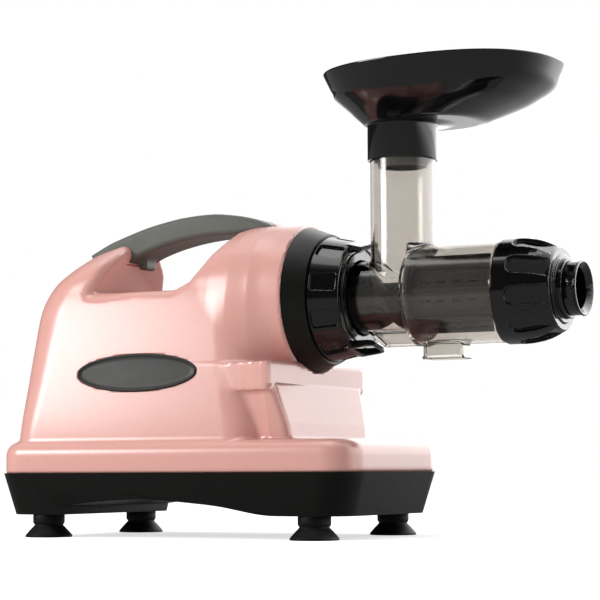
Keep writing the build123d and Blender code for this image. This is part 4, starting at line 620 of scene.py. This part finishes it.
def bib_slice(x, y, half, reach, corner):
    """Plan of the pedestal: it flares from the body out to its front face."""
    ahead = x - NECK_FRONT
    flare = np.interp(ahead, *zip(*BIB_FLARE))
    sides = (np.abs(y) - half + flare) * 0.97
    return np.maximum(meet(sides, ahead - reach, corner), BIB_FLARE[0][0] - ahead)


def bib_distance(x, y, z):
    """Shouldered pedestal under the neck."""
    lip = meet(bib_slice(x, y, BIB_HALF_WIDTH, 3.4, 3.0), slab(z, BIB_CREASE, BIB_TOP), 1.5)
    at = [BODY_BOTTOM + 4, BIB_CREASE - 24, BIB_CREASE - 10, BIB_CREASE + 4]
    reach = np.interp(z, at, [15.0, 11.6, 7.8, 4.0])
    half = np.interp(z, at, [64.5, 67.5, 71.0, 73.0])
    foot = bib_slice(x, y, half, reach, 6.0) * 0.96
    foot = meet(foot, slab(z, BODY_BOTTOM - 6, BIB_CREASE + 4), 0.5)
    return join(lip, foot, 1.2)


def neck_distance(x, y, z):
    """Round neck that swells out of the body towards the collar."""
    radius = np.hypot(y, z - DRUM_AXIS)
    swell = (NECK_RADIUS - 14, NECK_RADIUS - 5, NECK_RADIUS)
    size = np.interp(x - NECK_FRONT, (-NECK_LENGTH, -44, -26), swell)
    return meet((radius - size) * 0.93, slab(x, NECK_FRONT - NECK_LENGTH, NECK_FRONT), 2.5)


def band_distance(x, y, z):
    """Rounded band round the foot of the shell."""
    plan = rounded_plan(x, y, REAR + 1.2, REAR + 303.8, BAND_HALF_WIDTH, 24.0)
    return meet(plan, slab(z, SEAM - 8, BAND_TOP), 10.5)


class JUICER_OT_shell(PieceOperator):
    """Rose shell: body, flared neck, pedestal, foot band and finger opening."""

    bl_idname = "juicer.shell"
    bl_label = "Upper shell"

    def make(self, sizes):
        def field(points):
            x, y, z = points.T
            shape = join(body_distance(x, y, z), neck_distance(x, y, z), sizes.neck_flare)
            shape = join(shape, bib_distance(x, y, z), sizes.bib_blend)
            shape = join(shape, band_distance(x, y, z), 2.5)
            edge = np.interp(x - REAR, (80, 110, 150), (9.0, 5.0, 6.0))
            return cut(shape, outline_distance(x, z, OPENING), edge)

        shell = moulding("upper_shell", field, (REAR - 6, -90, SEAM - 12), (REAR + 310, 90, CROWN + 8),
                         sizes.shell_step)
        seat = [(x, z + (0.4 if z > 232 else -0.3)) for x, z in grip_outline()]
        cutters = [
            prism_y("grip_seat", seat, -18.3, 18.3),
            rod_x("nose_hole", 23.0, NECK_FRONT - 6, NECK_FRONT + 2, 0, DRUM_AXIS),
            rod_x("collar_seat", 54.9, NECK_FRONT + 0.1, NECK_FRONT + 20, 0, DRUM_AXIS, 160),
            block("switch_hole", (REAR - 5, BODY_REAR + 6), (-11, 11), (97, 127)),
            rod_x("gland_hole", 8.0, REAR - 5, BODY_REAR + 6, 30, 84),
            oval_form("plate_seat", 0.0, 12.0, 0.3),
        ]
        carve(shell, cutters)
        bm = bmesh.new()
        bm.from_mesh(shell.data)
        bmesh.ops.bisect_plane(bm, geom=bm.verts[:] + bm.edges[:] + bm.faces[:], plane_co=(0, 0, SEAM / 1000),
                               plane_no=(0, 0, 1), clear_inner=True)
        ends = []
        for face in bm.faces:
            middle = face.calc_center_median() * 1000
            at_front = abs(middle.x - NECK_FRONT + 6) < 0.3 and abs(face.normal.x) > 0.99
            at_rear = abs(middle.x - BODY_REAR - 6) < 0.3 and abs(face.normal.x) > 0.99
            if at_front or at_rear:
                ends.append(face)
        bmesh.ops.delete(bm, geom=ends, context="FACES")
        bm.to_mesh(shell.data)
        bm.free()
        smooth(shell, 34)
        wall = shell.modifiers.new("wall", "SOLIDIFY")
        wall.thickness = sizes.shell_wall / 1000
        wall.offset = -1
        settle(shell, "chassis", "shell_pink", "upper_housing")


# ---- base and feet
class JUICER_OT_base(PieceOperator):
    """Black lower base with softened edges."""

    bl_idname = "juicer.base"
    bl_label = "Lower base"

    def make(self, sizes):
        settle_copy("base_moulding", "lower_base", 0.5, "chassis", "base_black")


def foot_tree():
    """Geometry Nodes tree that sets a copy of one foot on every point."""
    tree = bpy.data.node_groups.new("feet_on_points", "GeometryNodeTree")
    face = tree.interface
    face.new_socket(name="Geometry", in_out="INPUT", socket_type="NodeSocketGeometry")
    foot = face.new_socket(name="Foot", in_out="INPUT", socket_type="NodeSocketObject")
    rubber = face.new_socket(name="Rubber", in_out="INPUT", socket_type="NodeSocketMaterial")
    face.new_socket(name="Geometry", in_out="OUTPUT", socket_type="NodeSocketGeometry")
    make = tree.nodes.new
    start, end = make("NodeGroupInput"), make("NodeGroupOutput")
    info, place = make("GeometryNodeObjectInfo"), make("GeometryNodeInstanceOnPoints")
    real, paint = make("GeometryNodeRealizeInstances"), make("GeometryNodeSetMaterial")
    for source, output, target, socket in (
            (start, "Geometry", place, "Points"), (start, "Foot", info, "Object"),
            (info, "Geometry", place, "Instance"), (place, "Instances", real, "Geometry"),
            (real, "Geometry", paint, "Geometry"), (start, "Rubber", paint, "Material"),
            (paint, "Geometry", end, "Geometry")):
        tree.links.new(source.outputs[output], target.inputs[socket])
    return tree, foot.identifier, rubber.identifier


FOOT_NODES = ("suction_foot_rear_right", "suction_foot_rear_left", "suction_foot_front_right",
              "suction_foot_front_left")


class JUICER_OT_feet(PieceOperator):
    """Four suction feet with a flared lip and a hollow under it."""

    bl_idname = "juicer.feet"
    bl_label = "Suction feet"

    def make(self, sizes):
        profile = [(0.01, 2.4), (6.0, 2.0), (14.2, 0.25), (16.9, 0.0), (17.7, 0.25), (17.9, 0.9),
                   (17.4, 1.9), (15.9, 3.6), (13.6, 6.2), (11.6, 8.2), (10.9, 9.0), (11.0, 9.7),
                   (11.8, 10.6), (12.0, 11.6), (12.0, 16.4), (11.6, 17.0), (0.01, 17.0)]
        foot = lofted("one_foot", [[(r * cos(t), r * sin(t), z) for t in turns_of(48)]
                                   for r, z in profile])
        smooth(foot, 50)
        spots = []
        for node in FOOT_NODES:
            low, high = corners(node)
            spots.append(((low[0] + high[0]) / 2, (low[1] + high[1]) / 2, 0.0))
        feet = new_object("suction_feet", spots, [])
        tree, foot_socket, rubber_socket = foot_tree()
        step = feet.modifiers.new("feet", "NODES")
        step.node_group = tree
        step[foot_socket] = foot
        step[rubber_socket] = FINISHES["foot_rubber"]
        taken(feet)
        bpy.data.objects.remove(foot)
        settle(feet, "chassis", "foot_rubber", *FOOT_NODES)


# ---- handle and plate
class JUICER_OT_handle(PieceOperator):
    """Arched handle grip with rounded edges and a small tail under it."""

    bl_idname = "juicer.handle"
    bl_label = "Handle grip"

    def make(self, sizes):
        outline = grip_outline()

        def field(points):
            x, y, z = points.T
            strip = outline_distance(x, z, outline)
            width = GRIP_HALF_WIDTH - 0.1
            grip = meet(strip, np.abs(y) - width, sizes.grip_rounding)
            tail = meet(slab(x, REAR + 84.8, REAR + 91.8), np.abs(y) - 7.8, 2.0)
            tail = meet(tail, slab(z, 206.5, 217), 2.0)
            seam = np.hypot(strip + 0.1, np.abs(x - REAR - 154.6)) - 0.45
            return cut(join(grip, tail, 3.0), seam, 0.2)

        grip = moulding("handle_grip_soft", field, (REAR + 40, -24, 194), (REAR + 230, 24, 252), 1.3)
        settle(grip, "chassis", "handle_charcoal", "handle_grip")


PLATE_CENTRE = (REAR + 121.0, -67.9, 122.5)
PLATE_TILT = radians(9.6)
PLATE_HALF_LENGTH = 51.75
PLATE_HALF_HEIGHT = 13.8
PLATE_BLUNT = 0.12              # angle left out at each end of the oval


def plate_point(u, v, w):
    """Point on the plate: along it, up it, and out from its back."""
    x, y, z = PLATE_CENTRE
    return (x + u, y - w * cos(PLATE_TILT) + v * sin(PLATE_TILT),
            z + w * sin(PLATE_TILT) + v * cos(PLATE_TILT))


def oval_line(grow, count=96):
    """Long oval with blunt ends."""
    step = (pi - 2 * PLATE_BLUNT) / (count // 2 - 1)
    turns = [side + PLATE_BLUNT + k * step for side in (0, pi) for k in range(count // 2)]
    return [((PLATE_HALF_LENGTH + grow) * cos(t), (PLATE_HALF_HEIGHT + grow) * sin(t)) for t in turns]


def oval_form(name, start, end, grow):
    return lofted(name, [[plate_point(u, v, w) for u, v in oval_line(grow)] for w in (start, end)])


class JUICER_OT_plate(PieceOperator):
    """Bare oval plate with a rolled edge."""

    bl_idname = "juicer.plate"
    bl_label = "Oval plate"

    def make(self, sizes):
        rows = [(0.0, 0.0), (0.0, 0.7), (0.7, 0.7), (0.9, 1.1), (0.7, 1.5), (0.1, 1.85), (-0.6, 1.95),
                (-1.2, 1.75), (-1.8, 1.55), (-5.0, 1.5)]
        rings = [[plate_point(u, v, w) for u, v in oval_line(grow)] for grow, w in rows]
        plate = lofted("oval_plate", rings)
        smooth(plate, 40)
        settle(plate, "chassis", "plate_black", "name_plate")


# ---- collar and locking ring
class JUICER_OT_collar(PieceOperator):
    """Fixed collar in front of the neck."""

    bl_idname = "juicer.collar"
    bl_label = "Front collar"

    def make(self, sizes):
        settle_copy("collar_moulding", "front_collar", 0.6, "chassis", "collar_black")


def along(radius, angle, station):
    """Place beside a station of a turned part: across it and out from the axis."""
    turn = angle - radians(station)
    return radius * np.sin(turn), radius * np.cos(turn)


def lever_side(reach, tip, nose):
    """Side of a lever: it starts on the ring and reaches out in front of it."""
    end = RING_END
    return [(end - 9, 36), (end - 9, 41.2), (end - 2, 42.0), (end + reach, tip), (end + reach, 36.4),
            (end + nose, 35.4)]


class JUICER_OT_ring(PieceOperator):
    """Gloss black locking ring with ten windows, a front lip and two levers."""

    bl_idname = "juicer.ring"
    bl_label = "Locking ring"

    def make(self, sizes):
        start, end = RING_START, RING_END
        lip = FLANGE_START + 5.7
        slope = atan2(RING_DROP, RING_WIDTH)

        def outside(x, radius):
            """Distance to the ring's tapering outside."""
            return (radius - RING_RADIUS + (x - start) * RING_DROP / RING_WIDTH) * cos(slope)

        def field(points):
            x, y, z = points.T
            radius, angle = polar(y, z)
            shape = meet(outside(x, radius), slab(x, start, end), 1.3)
            turn = folded(angle, STATIONS, 5)
            across, out = radius * np.sin(turn), radius * np.cos(turn)
            deep = -(outside(x, out) + sizes.window_depth)
            window = np.maximum(boxed(x - (start + end) / 2 + 0.5, across, 9.6, 6.5, 1.8), deep)
            shape = cut(shape, window, 0.7)
            groove = meet(np.abs(radius - 35.5) - 1.2, end - 1.0 - x, 0.3)
            shape = cut(shape, groove, 0.4)
            across, out = along(radius, angle, 12)
            lever = outline_distance(x, out, lever_side(8, 39.4, 6))
            lever = meet(lever, np.abs(across) - LEVER_HALF_WIDTH, 1.4)
            shape = join(shape, lever, 0.8)
            across, out = along(radius, angle, 168)
            plan = boxed(x - end - 4, across, 13.3, LEVER_HALF_WIDTH, 6.0)
            lever = np.maximum(outline_distance(x, out, lever_side(17.3, 39.2, 15.4)), plan)
            lever = meet(lever, np.abs(across) - LEVER_HALF_WIDTH, 1.2)
            hole = boxed(x - end - 7.6, across, 7.4, 9.6, 4.5)
            lever = cut(lever, hole, 0.7)
            shape = join(shape, lever, 0.8)
            bore = np.minimum(radius - 28.05, np.maximum(radius - 37.35, x - lip))
            return cut(shape, bore, 0.4)

        ring = moulding("locking_ring_gloss", field, (start - 3, -52, DRUM_AXIS - 52),
                        (end + 22, 52, DRUM_AXIS + 52), sizes.ring_step)
        settle(ring, "ring", "ring_black", "locking_ring")


# ---- drum, auger and screen
class JUICER_OT_drum(PieceOperator):
    """Smoked clear drum with its feed chute, trough and juice spout."""

    bl_idname = "juicer.drum"
    bl_label = "Drum and chute"

    def make(self, sizes):
        flange_end = FLANGE_START + 5.4
        back = FLANGE_START - 15.0
        spout = (SHOULDER + 6.0, SHOULDER + 39.0)
        # root, flange, chamber and spigot: radius, start, end, edge, fillet
        turned = ((31.5, back, FLANGE_START + 1, 0.4, 0.5),
                  (DRUM_RADIUS, FLANGE_START, flange_end, 0.6, 0.8),
                  (DRUM_RADIUS, SHOULDER, CHAMBER_END, 2.0, 0.8),
                  (34.9, CHAMBER_END - 4, CHAMBER_END + SPIGOT, 0.5, 0.5))

        def field(points):
            x, y, z = points.T
            radius = np.hypot(y, z - DRUM_AXIS)
            shape = meet(radius - TUBE_RADIUS, slab(x, back, SHOULDER + 2), 0.3)
            for size, low, high, edge, fillet in turned:
                shape = join(shape, meet(radius - size, slab(x, low, high), edge), fillet)
            from_chute = np.hypot(x - CHUTE_X, y)
            chute = meet(from_chute - CHUTE_RADIUS, slab(z, DRUM_AXIS, 302.0), 0.5)
            trough = [(FLANGE_START + 22, DRUM_AXIS - 12), (FLANGE_START + 22, 150), (FLANGE_START + 35, 139),
                      (SHOULDER + 5, 139), (SHOULDER + 5, DRUM_AXIS - 12)]
            gutter = meet(outline_distance(x, z, trough), np.abs(y) - 9, 1.2)
            pipe = rounded_plan(x, y, spout[0] + 1, spout[1] - 1, 11.0, 5.0)
            pipe = meet(pipe, slab(z, 129.6, DRUM_AXIS - 12), 0.5)
            lip = meet(rounded_plan(x, y, *spout, 12.0, 6.0), slab(z, 129.5, 131.2), 0.7)
            pipe = join(pipe, lip, 1.0)
            shape = join(join(join(shape, chute, 1.5), gutter, 1.0), pipe, 1.0)
            inner = meet(radius - 24.7, slab(x, back + 3.3, SHOULDER + 4), 0.3)
            wide = meet(radius - 34.7, slab(x, SHOULDER + 3.0, CHAMBER_END), 1.0)
            mouth = meet(radius - 32.6, slab(x, CHAMBER_END - 1, CHAMBER_END + 12), 0.2)
            journal = np.maximum(radius - 12.05, slab(x, back - 3, flange_end))
            throat = meet(from_chute - CHUTE_BORE, slab(z, DRUM_AXIS, 306.0), 0.3)
            throat_low = np.maximum(throat, x - SHOULDER + 0.6)
            throat_high = np.maximum(throat, DRUM_AXIS + 37.0 - z)
            drop = rounded_plan(x, y, spout[0] + 2.8, spout[1] - 2.8, 9.2, 3.4)
            drop = np.maximum(drop, slab(z, 126.0, DRUM_AXIS - 25))
            hollow = [(FLANGE_START + 24.3, DRUM_AXIS - 27), (FLANGE_START + 24.3, 151.2),
                      (FLANGE_START + 36, 141.3), (SHOULDER + 1, 141.3), (SHOULDER + 1, DRUM_AXIS - 27)]
            channel = np.maximum(outline_distance(x, z, hollow), np.abs(y) - 6.7)
            void = np.minimum.reduce([inner, wide, mouth, journal, throat_low, throat_high, drop, channel])
            return cut(shape, void, 0.4)

        drum = moulding("smoked_drum", field, (back - 3, -42, 126), (CHAMBER_END + 10, 42, 305), 1.1)
        settle(drum, "chassis", "drum_smoke", "drum", "feed_chute")


# ---- end cap and outlet
class JUICER_OT_cap(PieceOperator):
    """Fluted end cap with a stepped neck, and the outlet in it."""

    bl_idname = "juicer.cap"
    bl_label = "End cap and outlet"

    def make(self, sizes):
        start = CAP_START
        side = [(start + x, radius) for x, radius in (
            (0, 0), (0, 37.7), (0.7, CAP_RADIUS), (12, CAP_RADIUS), (19, 37.7), (26, 36.5), (31, 35.0),
            (35, 33.2), (38, 31.6))] + [(CAP_FRONT - 1, 30.3), (CAP_FRONT, 29.2), (CAP_FRONT, 0)]
        flute = start + 11
        lean = atan2(6.4, 30.6)

        def field(points):
            x, y, z = points.T
            radius, angle = polar(y, z)
            shape = outline_distance(x, radius, side)
            for size, reach, edge, fillet in ((24.5, 1.2, 0.5, 0.3), (21.4, 5.8, 0.6, 0.4)):
                neck = meet(radius - size, slab(x, CAP_FRONT - 3, CAP_FRONT + reach), edge)
                shape = join(shape, neck, fillet)
            turn = folded(angle, STATIONS, 28)
            across, out = radius * np.sin(turn), radius * np.cos(turn)
            ahead = (x - flute) * cos(lean) - (out - CAP_RADIUS) * sin(lean)
            high = (x - flute) * sin(lean) + (out - CAP_RADIUS) * cos(lean)
            groove = np.maximum(boxed(ahead - 30, across, 30, 6.5, 6.0), -(high + sizes.flute_depth))
            shape = cut(shape, groove, 0.8)
            bore = [(start - 4, 0), (start - 4, 35.2), (CHAMBER_END + 7.3, 35.2),
                    (CHAMBER_END + 7.3, 24.8), (CHAMBER_END + 11.5, 24.8), (CAP_FRONT - 14, 17.6),
                    (CAP_FRONT + 20, 17.6), (CAP_FRONT + 20, 0)]
            return cut(shape, outline_distance(x, radius, bore), 0.4)

        cap = moulding("end_cap_gloss", field, (start - 3, -42, DRUM_AXIS - 42),
                       (CAP_FRONT + 10, 42, DRUM_AXIS + 42), sizes.ring_step)
        settle(cap, "cap", "ring_black", "end_cap")
        settle_copy("outlet_gloss", "outlet_nozzle", 0.4, "outlet", "ring_black")


# ---- hopper tray
# each bowl section from the rim down: inset, depth, shift towards the chute
TRAY_SECTIONS = ((0.0, 0.0, 0.0), (3.6, 7.4, 0.0), (7.0, 13.8, 0.0), (10.5, 18.5, 1.5), (16.5, 22.8, 3.0),
                 (23.7, 27.5, 4.7), (34.0, 33.0, 9.5), (44.6, 38.1, 14.6))
TRAY_DEPTH = TRAY_SECTIONS[-1][1]
TRAY_POWER = 2 / 2.35           # between an ellipse and a rounded rectangle


class JUICER_OT_tray(PieceOperator):
    """Gloss black hopper tray with a rolled rim, its throat and its collar."""

    bl_idname = "juicer.tray"
    bl_label = "Hopper tray"

    def make(self, sizes):
        rim, count = TRAY_RIM, 144
        depths, insets = smooth_table([(d, i) for i, d, s in TRAY_SECTIONS], 1)
        shifts = smooth_table([(d, s) for i, d, s in TRAY_SECTIONS], 1)[1]

        def egg(depth, wall=0.0, lift=0.0):
            inset = np.interp(depth, depths, insets) + wall
            centre = CHUTE_X + 33.0 - np.interp(depth, depths, shifts)
            length, width = 90.5 - inset, 70.8 - 0.78 * inset
            ring = []
            for t in turns_of(count):
                c, s = cos(t), sin(t)
                ahead = copysign(abs(c) ** TRAY_POWER, c)
                aside = copysign(abs(s) ** TRAY_POWER, s)
                ring.append((centre + length * ahead, width * aside * (1 + 0.09 * ahead), rim - depth + lift))
            return ring

        def round_ring(radius, height):
            return [(CHUTE_X + radius * cos(t), radius * sin(t), height) for t in turns_of(count)]

        def between(first, second, share):
            return [tuple(a * (1 - share) + b * share for a, b in zip(p, q)) for p, q in zip(first, second)]

        bottom = rim - TRAY_DEPTH
        collar = ((24.6, 277.2), (25.8, 277.0), (26.1, 277.5), (26.1, bottom - 1.4), (26.4, bottom - 0.4),
                  (27.2, bottom))
        rings = [round_ring(radius, height) for radius, height in collar]
        edge = egg(TRAY_DEPTH)
        rings += [between(rings[-1], edge, share) for share in (0.4, 0.8)]
        rings += [egg(depth) for depth in np.linspace(TRAY_DEPTH, 1.2, 30)]
        rings += [egg(0.6, 0.05), egg(0.1, 0.5), egg(0.0, 1.1), egg(0.1, 1.8), egg(0.8, 2.1)]
        rings += [egg(depth, 2.2, 1.8) for depth in np.linspace(3.5, TRAY_DEPTH, 26)]
        well = round_ring(19.4, bottom + 1.8)
        rings += [between(rings[-1], well, share) for share in (0.3, 0.7)]
        throat = ((17.8, bottom + 1.5), (17.0, bottom + 0.3), (16.8, bottom - 1.2), (16.8, 272.4),
                  (17.2, 272.0), (18.3, 272.1), (18.6, 272.6), (18.6, 302.0), (24.0, 302.3), (24.6, 301.6))
        rings += [well] + [round_ring(radius, height) for radius, height in throat]
        tray = lofted("hopper_tray_gloss", rings, closed=True)
        smooth(tray, 40)
        settle(tray, "hopper", "tray_black", "hopper_tray")


# ---- small parts and the drive
class JUICER_OT_fittings(PieceOperator):
    """Switch, rocker and cord gland on the rear face."""

    bl_idname = "juicer.fittings"
    bl_label = "Switch and gland"

    def make(self, sizes):
        settle_copy("switch_surround", "switch_frame", 0.3, "chassis", "switch_black")
        settle_copy("rocker_key", "switch_rocker", 0.4, "rocker", "rocker_red")
        settle_copy("gland_sleeve", "cord_gland", 0.4, "chassis", "base_black")


class JUICER_OT_drive(PieceOperator):
    """Finishes for the CAD pieces that are shown as they are."""

    bl_idname = "juicer.drive"
    bl_label = "Motor, gears and screws"

    def make(self, sizes):
        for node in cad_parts.values():
            for holder in node.material_slots:
                name = holder.material.name.split(".")[0] if holder.material else ""
                if name in FINISHES:
                    holder.material = FINISHES[name]


# ---- stage
SHEET_GLOW = 0.66               # the floor's own light, as the camera sees it
SHEET_FRONT = 0.3               # the floor in reflections, and what its far side behind adds
SHEET_BEHIND = 2.0
PANEL_LEVEL = 4.2               # panel behind on the right, ceiling and dark side, in reflections
CEILING_LEVEL = 1.2
DARK_LEVEL = 0.05
AMBIENT_LEVEL = 0.45            # light from all round on dull surfaces
FLOOR_REACH = 6000
CAMERA_PLACE = (0.71255, -1.3719, 0.0499)
CAMERA_TURN, CAMERA_PITCH, CAMERA_ROLL = (radians(angle) for angle in (27.49, 4.72, -0.27))


def area_lamp(name, place, target, size, power):
    lamp = bpy.data.lights.new(name, "AREA")
    lamp.shape = "RECTANGLE"
    lamp.size, lamp.size_y = size
    lamp.energy = power
    obj = placed(name, lamp)
    obj.location = place
    obj.rotation_euler = (Vector(target) - Vector(place)).to_track_quat("-Z", "Y").to_euler()


def worked(tree, operation, *values):
    """Math node over sockets and numbers."""
    return added(tree, "Math", dict(enumerate(values)), operation=operation).outputs[0]


def seen_share(tree):
    """One for rays of the camera, also through clear plastic, and nought for all others."""
    rays = added(tree, "LightPath", {}).outputs
    return worked(tree, "MAXIMUM", rays["Is Camera Ray"], rays["Is Transmission Ray"])


def mirror_share(tree):
    """One for rays that a glossy surface mirrors, nought for those that pass through clear plastic."""
    rays = added(tree, "LightPath", {}).outputs
    solid = worked(tree, "SUBTRACT", 1.0, rays["Is Transmission Ray"])
    return worked(tree, "MULTIPLY", rays["Is Glossy Ray"], solid)


def facing(tree, direction, towards, low, high):
    """Smooth rise from nought to one as a direction turns towards a side of the studio."""
    dot = added(tree, "VectorMath", {0: direction, 1: towards}, operation="DOT_PRODUCT")
    rise = added(tree, "MapRange", {"Value": dot.outputs["Value"], "From Min": low, "From Max": high},
                 interpolation_type="SMOOTHSTEP")
    return rise.outputs["Result"]


def studio_sheet(pale):
    """White sheet: it takes soft shadows, and glows a little so that it stays white."""
    sheet = bpy.data.materials.new("studio_sheet")
    tree, shader = nodes_of(sheet)
    tree.nodes.remove(shader)
    mirror = mirror_share(tree)
    shade = added(tree, "Mix", {"Factor": mirror, "A": (*pale, 1), "B": (0.04, 0.04, 0.04, 1)},
                  data_type="RGBA")
    chalk = added(tree, "BsdfDiffuse", {"Color": shade.outputs["Result"]})
    place = added(tree, "TexCoord", {}).outputs["Object"]
    behind = facing(tree, place, (0.56, 0.82, 0.0), 0.25, 2.2)
    sheen = worked(tree, "ADD", SHEET_FRONT, worked(tree, "MULTIPLY", behind, SHEET_BEHIND))
    seen = worked(tree, "MULTIPLY", seen_share(tree), SHEET_GLOW)
    level = worked(tree, "ADD", seen, worked(tree, "MULTIPLY", mirror, sheen))
    glow = added(tree, "Emission", {"Strength": level})
    both = added(tree, "AddShader", {0: chalk.outputs[0], 1: glow.outputs[0]})
    feed(tree, tree.nodes["Material Output"], {"Surface": both.outputs[0]})
    return sheet


def surroundings():
    """Studio: white to look at, dark in front, with a bright panel behind on the right."""
    world = bpy.data.worlds.new("studio")
    world.use_nodes = True
    tree = world.node_tree
    tree.nodes.clear()
    direction = added(tree, "TexCoord", {}).outputs["Generated"]
    panel = worked(tree, "MULTIPLY", facing(tree, direction, (0.56, 0.82, 0.1), 0.2, 0.75), PANEL_LEVEL)
    ceiling = worked(tree, "MULTIPLY", facing(tree, direction, (0.0, 0.25, 0.97), 0.55, 0.95), CEILING_LEVEL)
    mirrored = worked(tree, "ADD", worked(tree, "ADD", panel, ceiling), DARK_LEVEL)
    glossy = mirror_share(tree)
    seen = worked(tree, "MULTIPLY", seen_share(tree), 1.0 - AMBIENT_LEVEL)
    level = worked(tree, "ADD", AMBIENT_LEVEL, seen)
    level = worked(tree, "MULTIPLY", level, worked(tree, "SUBTRACT", 1.0, glossy))
    level = worked(tree, "ADD", level, worked(tree, "MULTIPLY", glossy, mirrored))
    light = added(tree, "Background", {"Color": (1, 1, 1, 1), "Strength": level})
    added(tree, "OutputWorld", {"Surface": light.outputs[0]})
    return world


class JUICER_OT_stage(bpy.types.Operator):
    """Camera, pale floor, soft lamps and the surroundings."""

    bl_idname = "juicer.stage"
    bl_label = "Stage"

    def execute(self, context):
        scene = context.scene
        scene.view_settings.view_transform = "Standard"
        camera = bpy.data.cameras.new("studio_camera")
        camera.sensor_width = 36.0
        camera.lens = 123.4
        camera.clip_end = 50
        holder = placed("studio_camera", camera)
        level = cos(CAMERA_PITCH)
        ahead = Vector((-sin(CAMERA_TURN) * level, cos(CAMERA_TURN) * level, sin(CAMERA_PITCH)))
        aim = ahead.to_track_quat("-Z", "Y").to_matrix().to_4x4()
        roll = Matrix.Rotation(CAMERA_ROLL, 4, "Z")
        holder.matrix_world = Matrix.Translation(CAMERA_PLACE) @ aim @ roll
        scene.camera = holder

        pale = tuple(scene.juicer_colours.backdrop)
        far = FLOOR_REACH
        floor = new_object("studio_floor", [(-far, -far, 0), (far, -far, 0), (far, far, 0), (-far, far, 0)],
                           [(0, 1, 2, 3)])
        floor.data.materials.append(studio_sheet(pale))
        scene.world = surroundings()

        area_lamp("key_left", (-1.08, -0.98, 0.62), (-0.12, -0.05, 0.15), (0.55, 0.55), 13)
        area_lamp("top_soft", (-0.1, -0.2, 1.8), (0, 0, 0.1), (1.2, 1.2), 8)
        return {"FINISHED"}


class JUICER_PT_panel(bpy.types.Panel):
    """Sidebar panel with the sizes, the colours and one button for each group."""

    bl_label = "Cold press juicer"
    bl_idname = "JUICER_PT_panel"
    bl_space_type = "VIEW_3D"
    bl_region_type = "UI"
    bl_category = "Juicer"

    def draw(self, context):
        for settings in (context.scene.juicer_sizes, context.scene.juicer_colours):
            box = self.layout.box()
            for name in settings.__annotations__:
                box.prop(settings, name)
        for operator in PIECES:
            self.layout.operator(operator.bl_idname)


PIECES = (JUICER_OT_shell, JUICER_OT_base, JUICER_OT_feet, JUICER_OT_handle, JUICER_OT_plate,
          JUICER_OT_collar, JUICER_OT_ring, JUICER_OT_drum, JUICER_OT_cap, JUICER_OT_tray,
          JUICER_OT_fittings, JUICER_OT_drive, JUICER_OT_stage)
CLASSES = (JuicerSizes, JuicerColours, *PIECES, JUICER_PT_panel)


def register():
    for one in CLASSES:
        bpy.utils.register_class(one)
    bpy.types.Scene.juicer_sizes = bpy.props.PointerProperty(type=JuicerSizes)
    bpy.types.Scene.juicer_colours = bpy.props.PointerProperty(type=JuicerColours)


def unregister():
    del bpy.types.Scene.juicer_sizes
    del bpy.types.Scene.juicer_colours
    for one in reversed(CLASSES):
        bpy.utils.unregister_class(one)


def main():
    register()
    for operator in PIECES:
        family, name = operator.bl_idname.split(".")
        getattr(getattr(bpy.ops, family), name)()


if __name__ == "__main__":
    main()
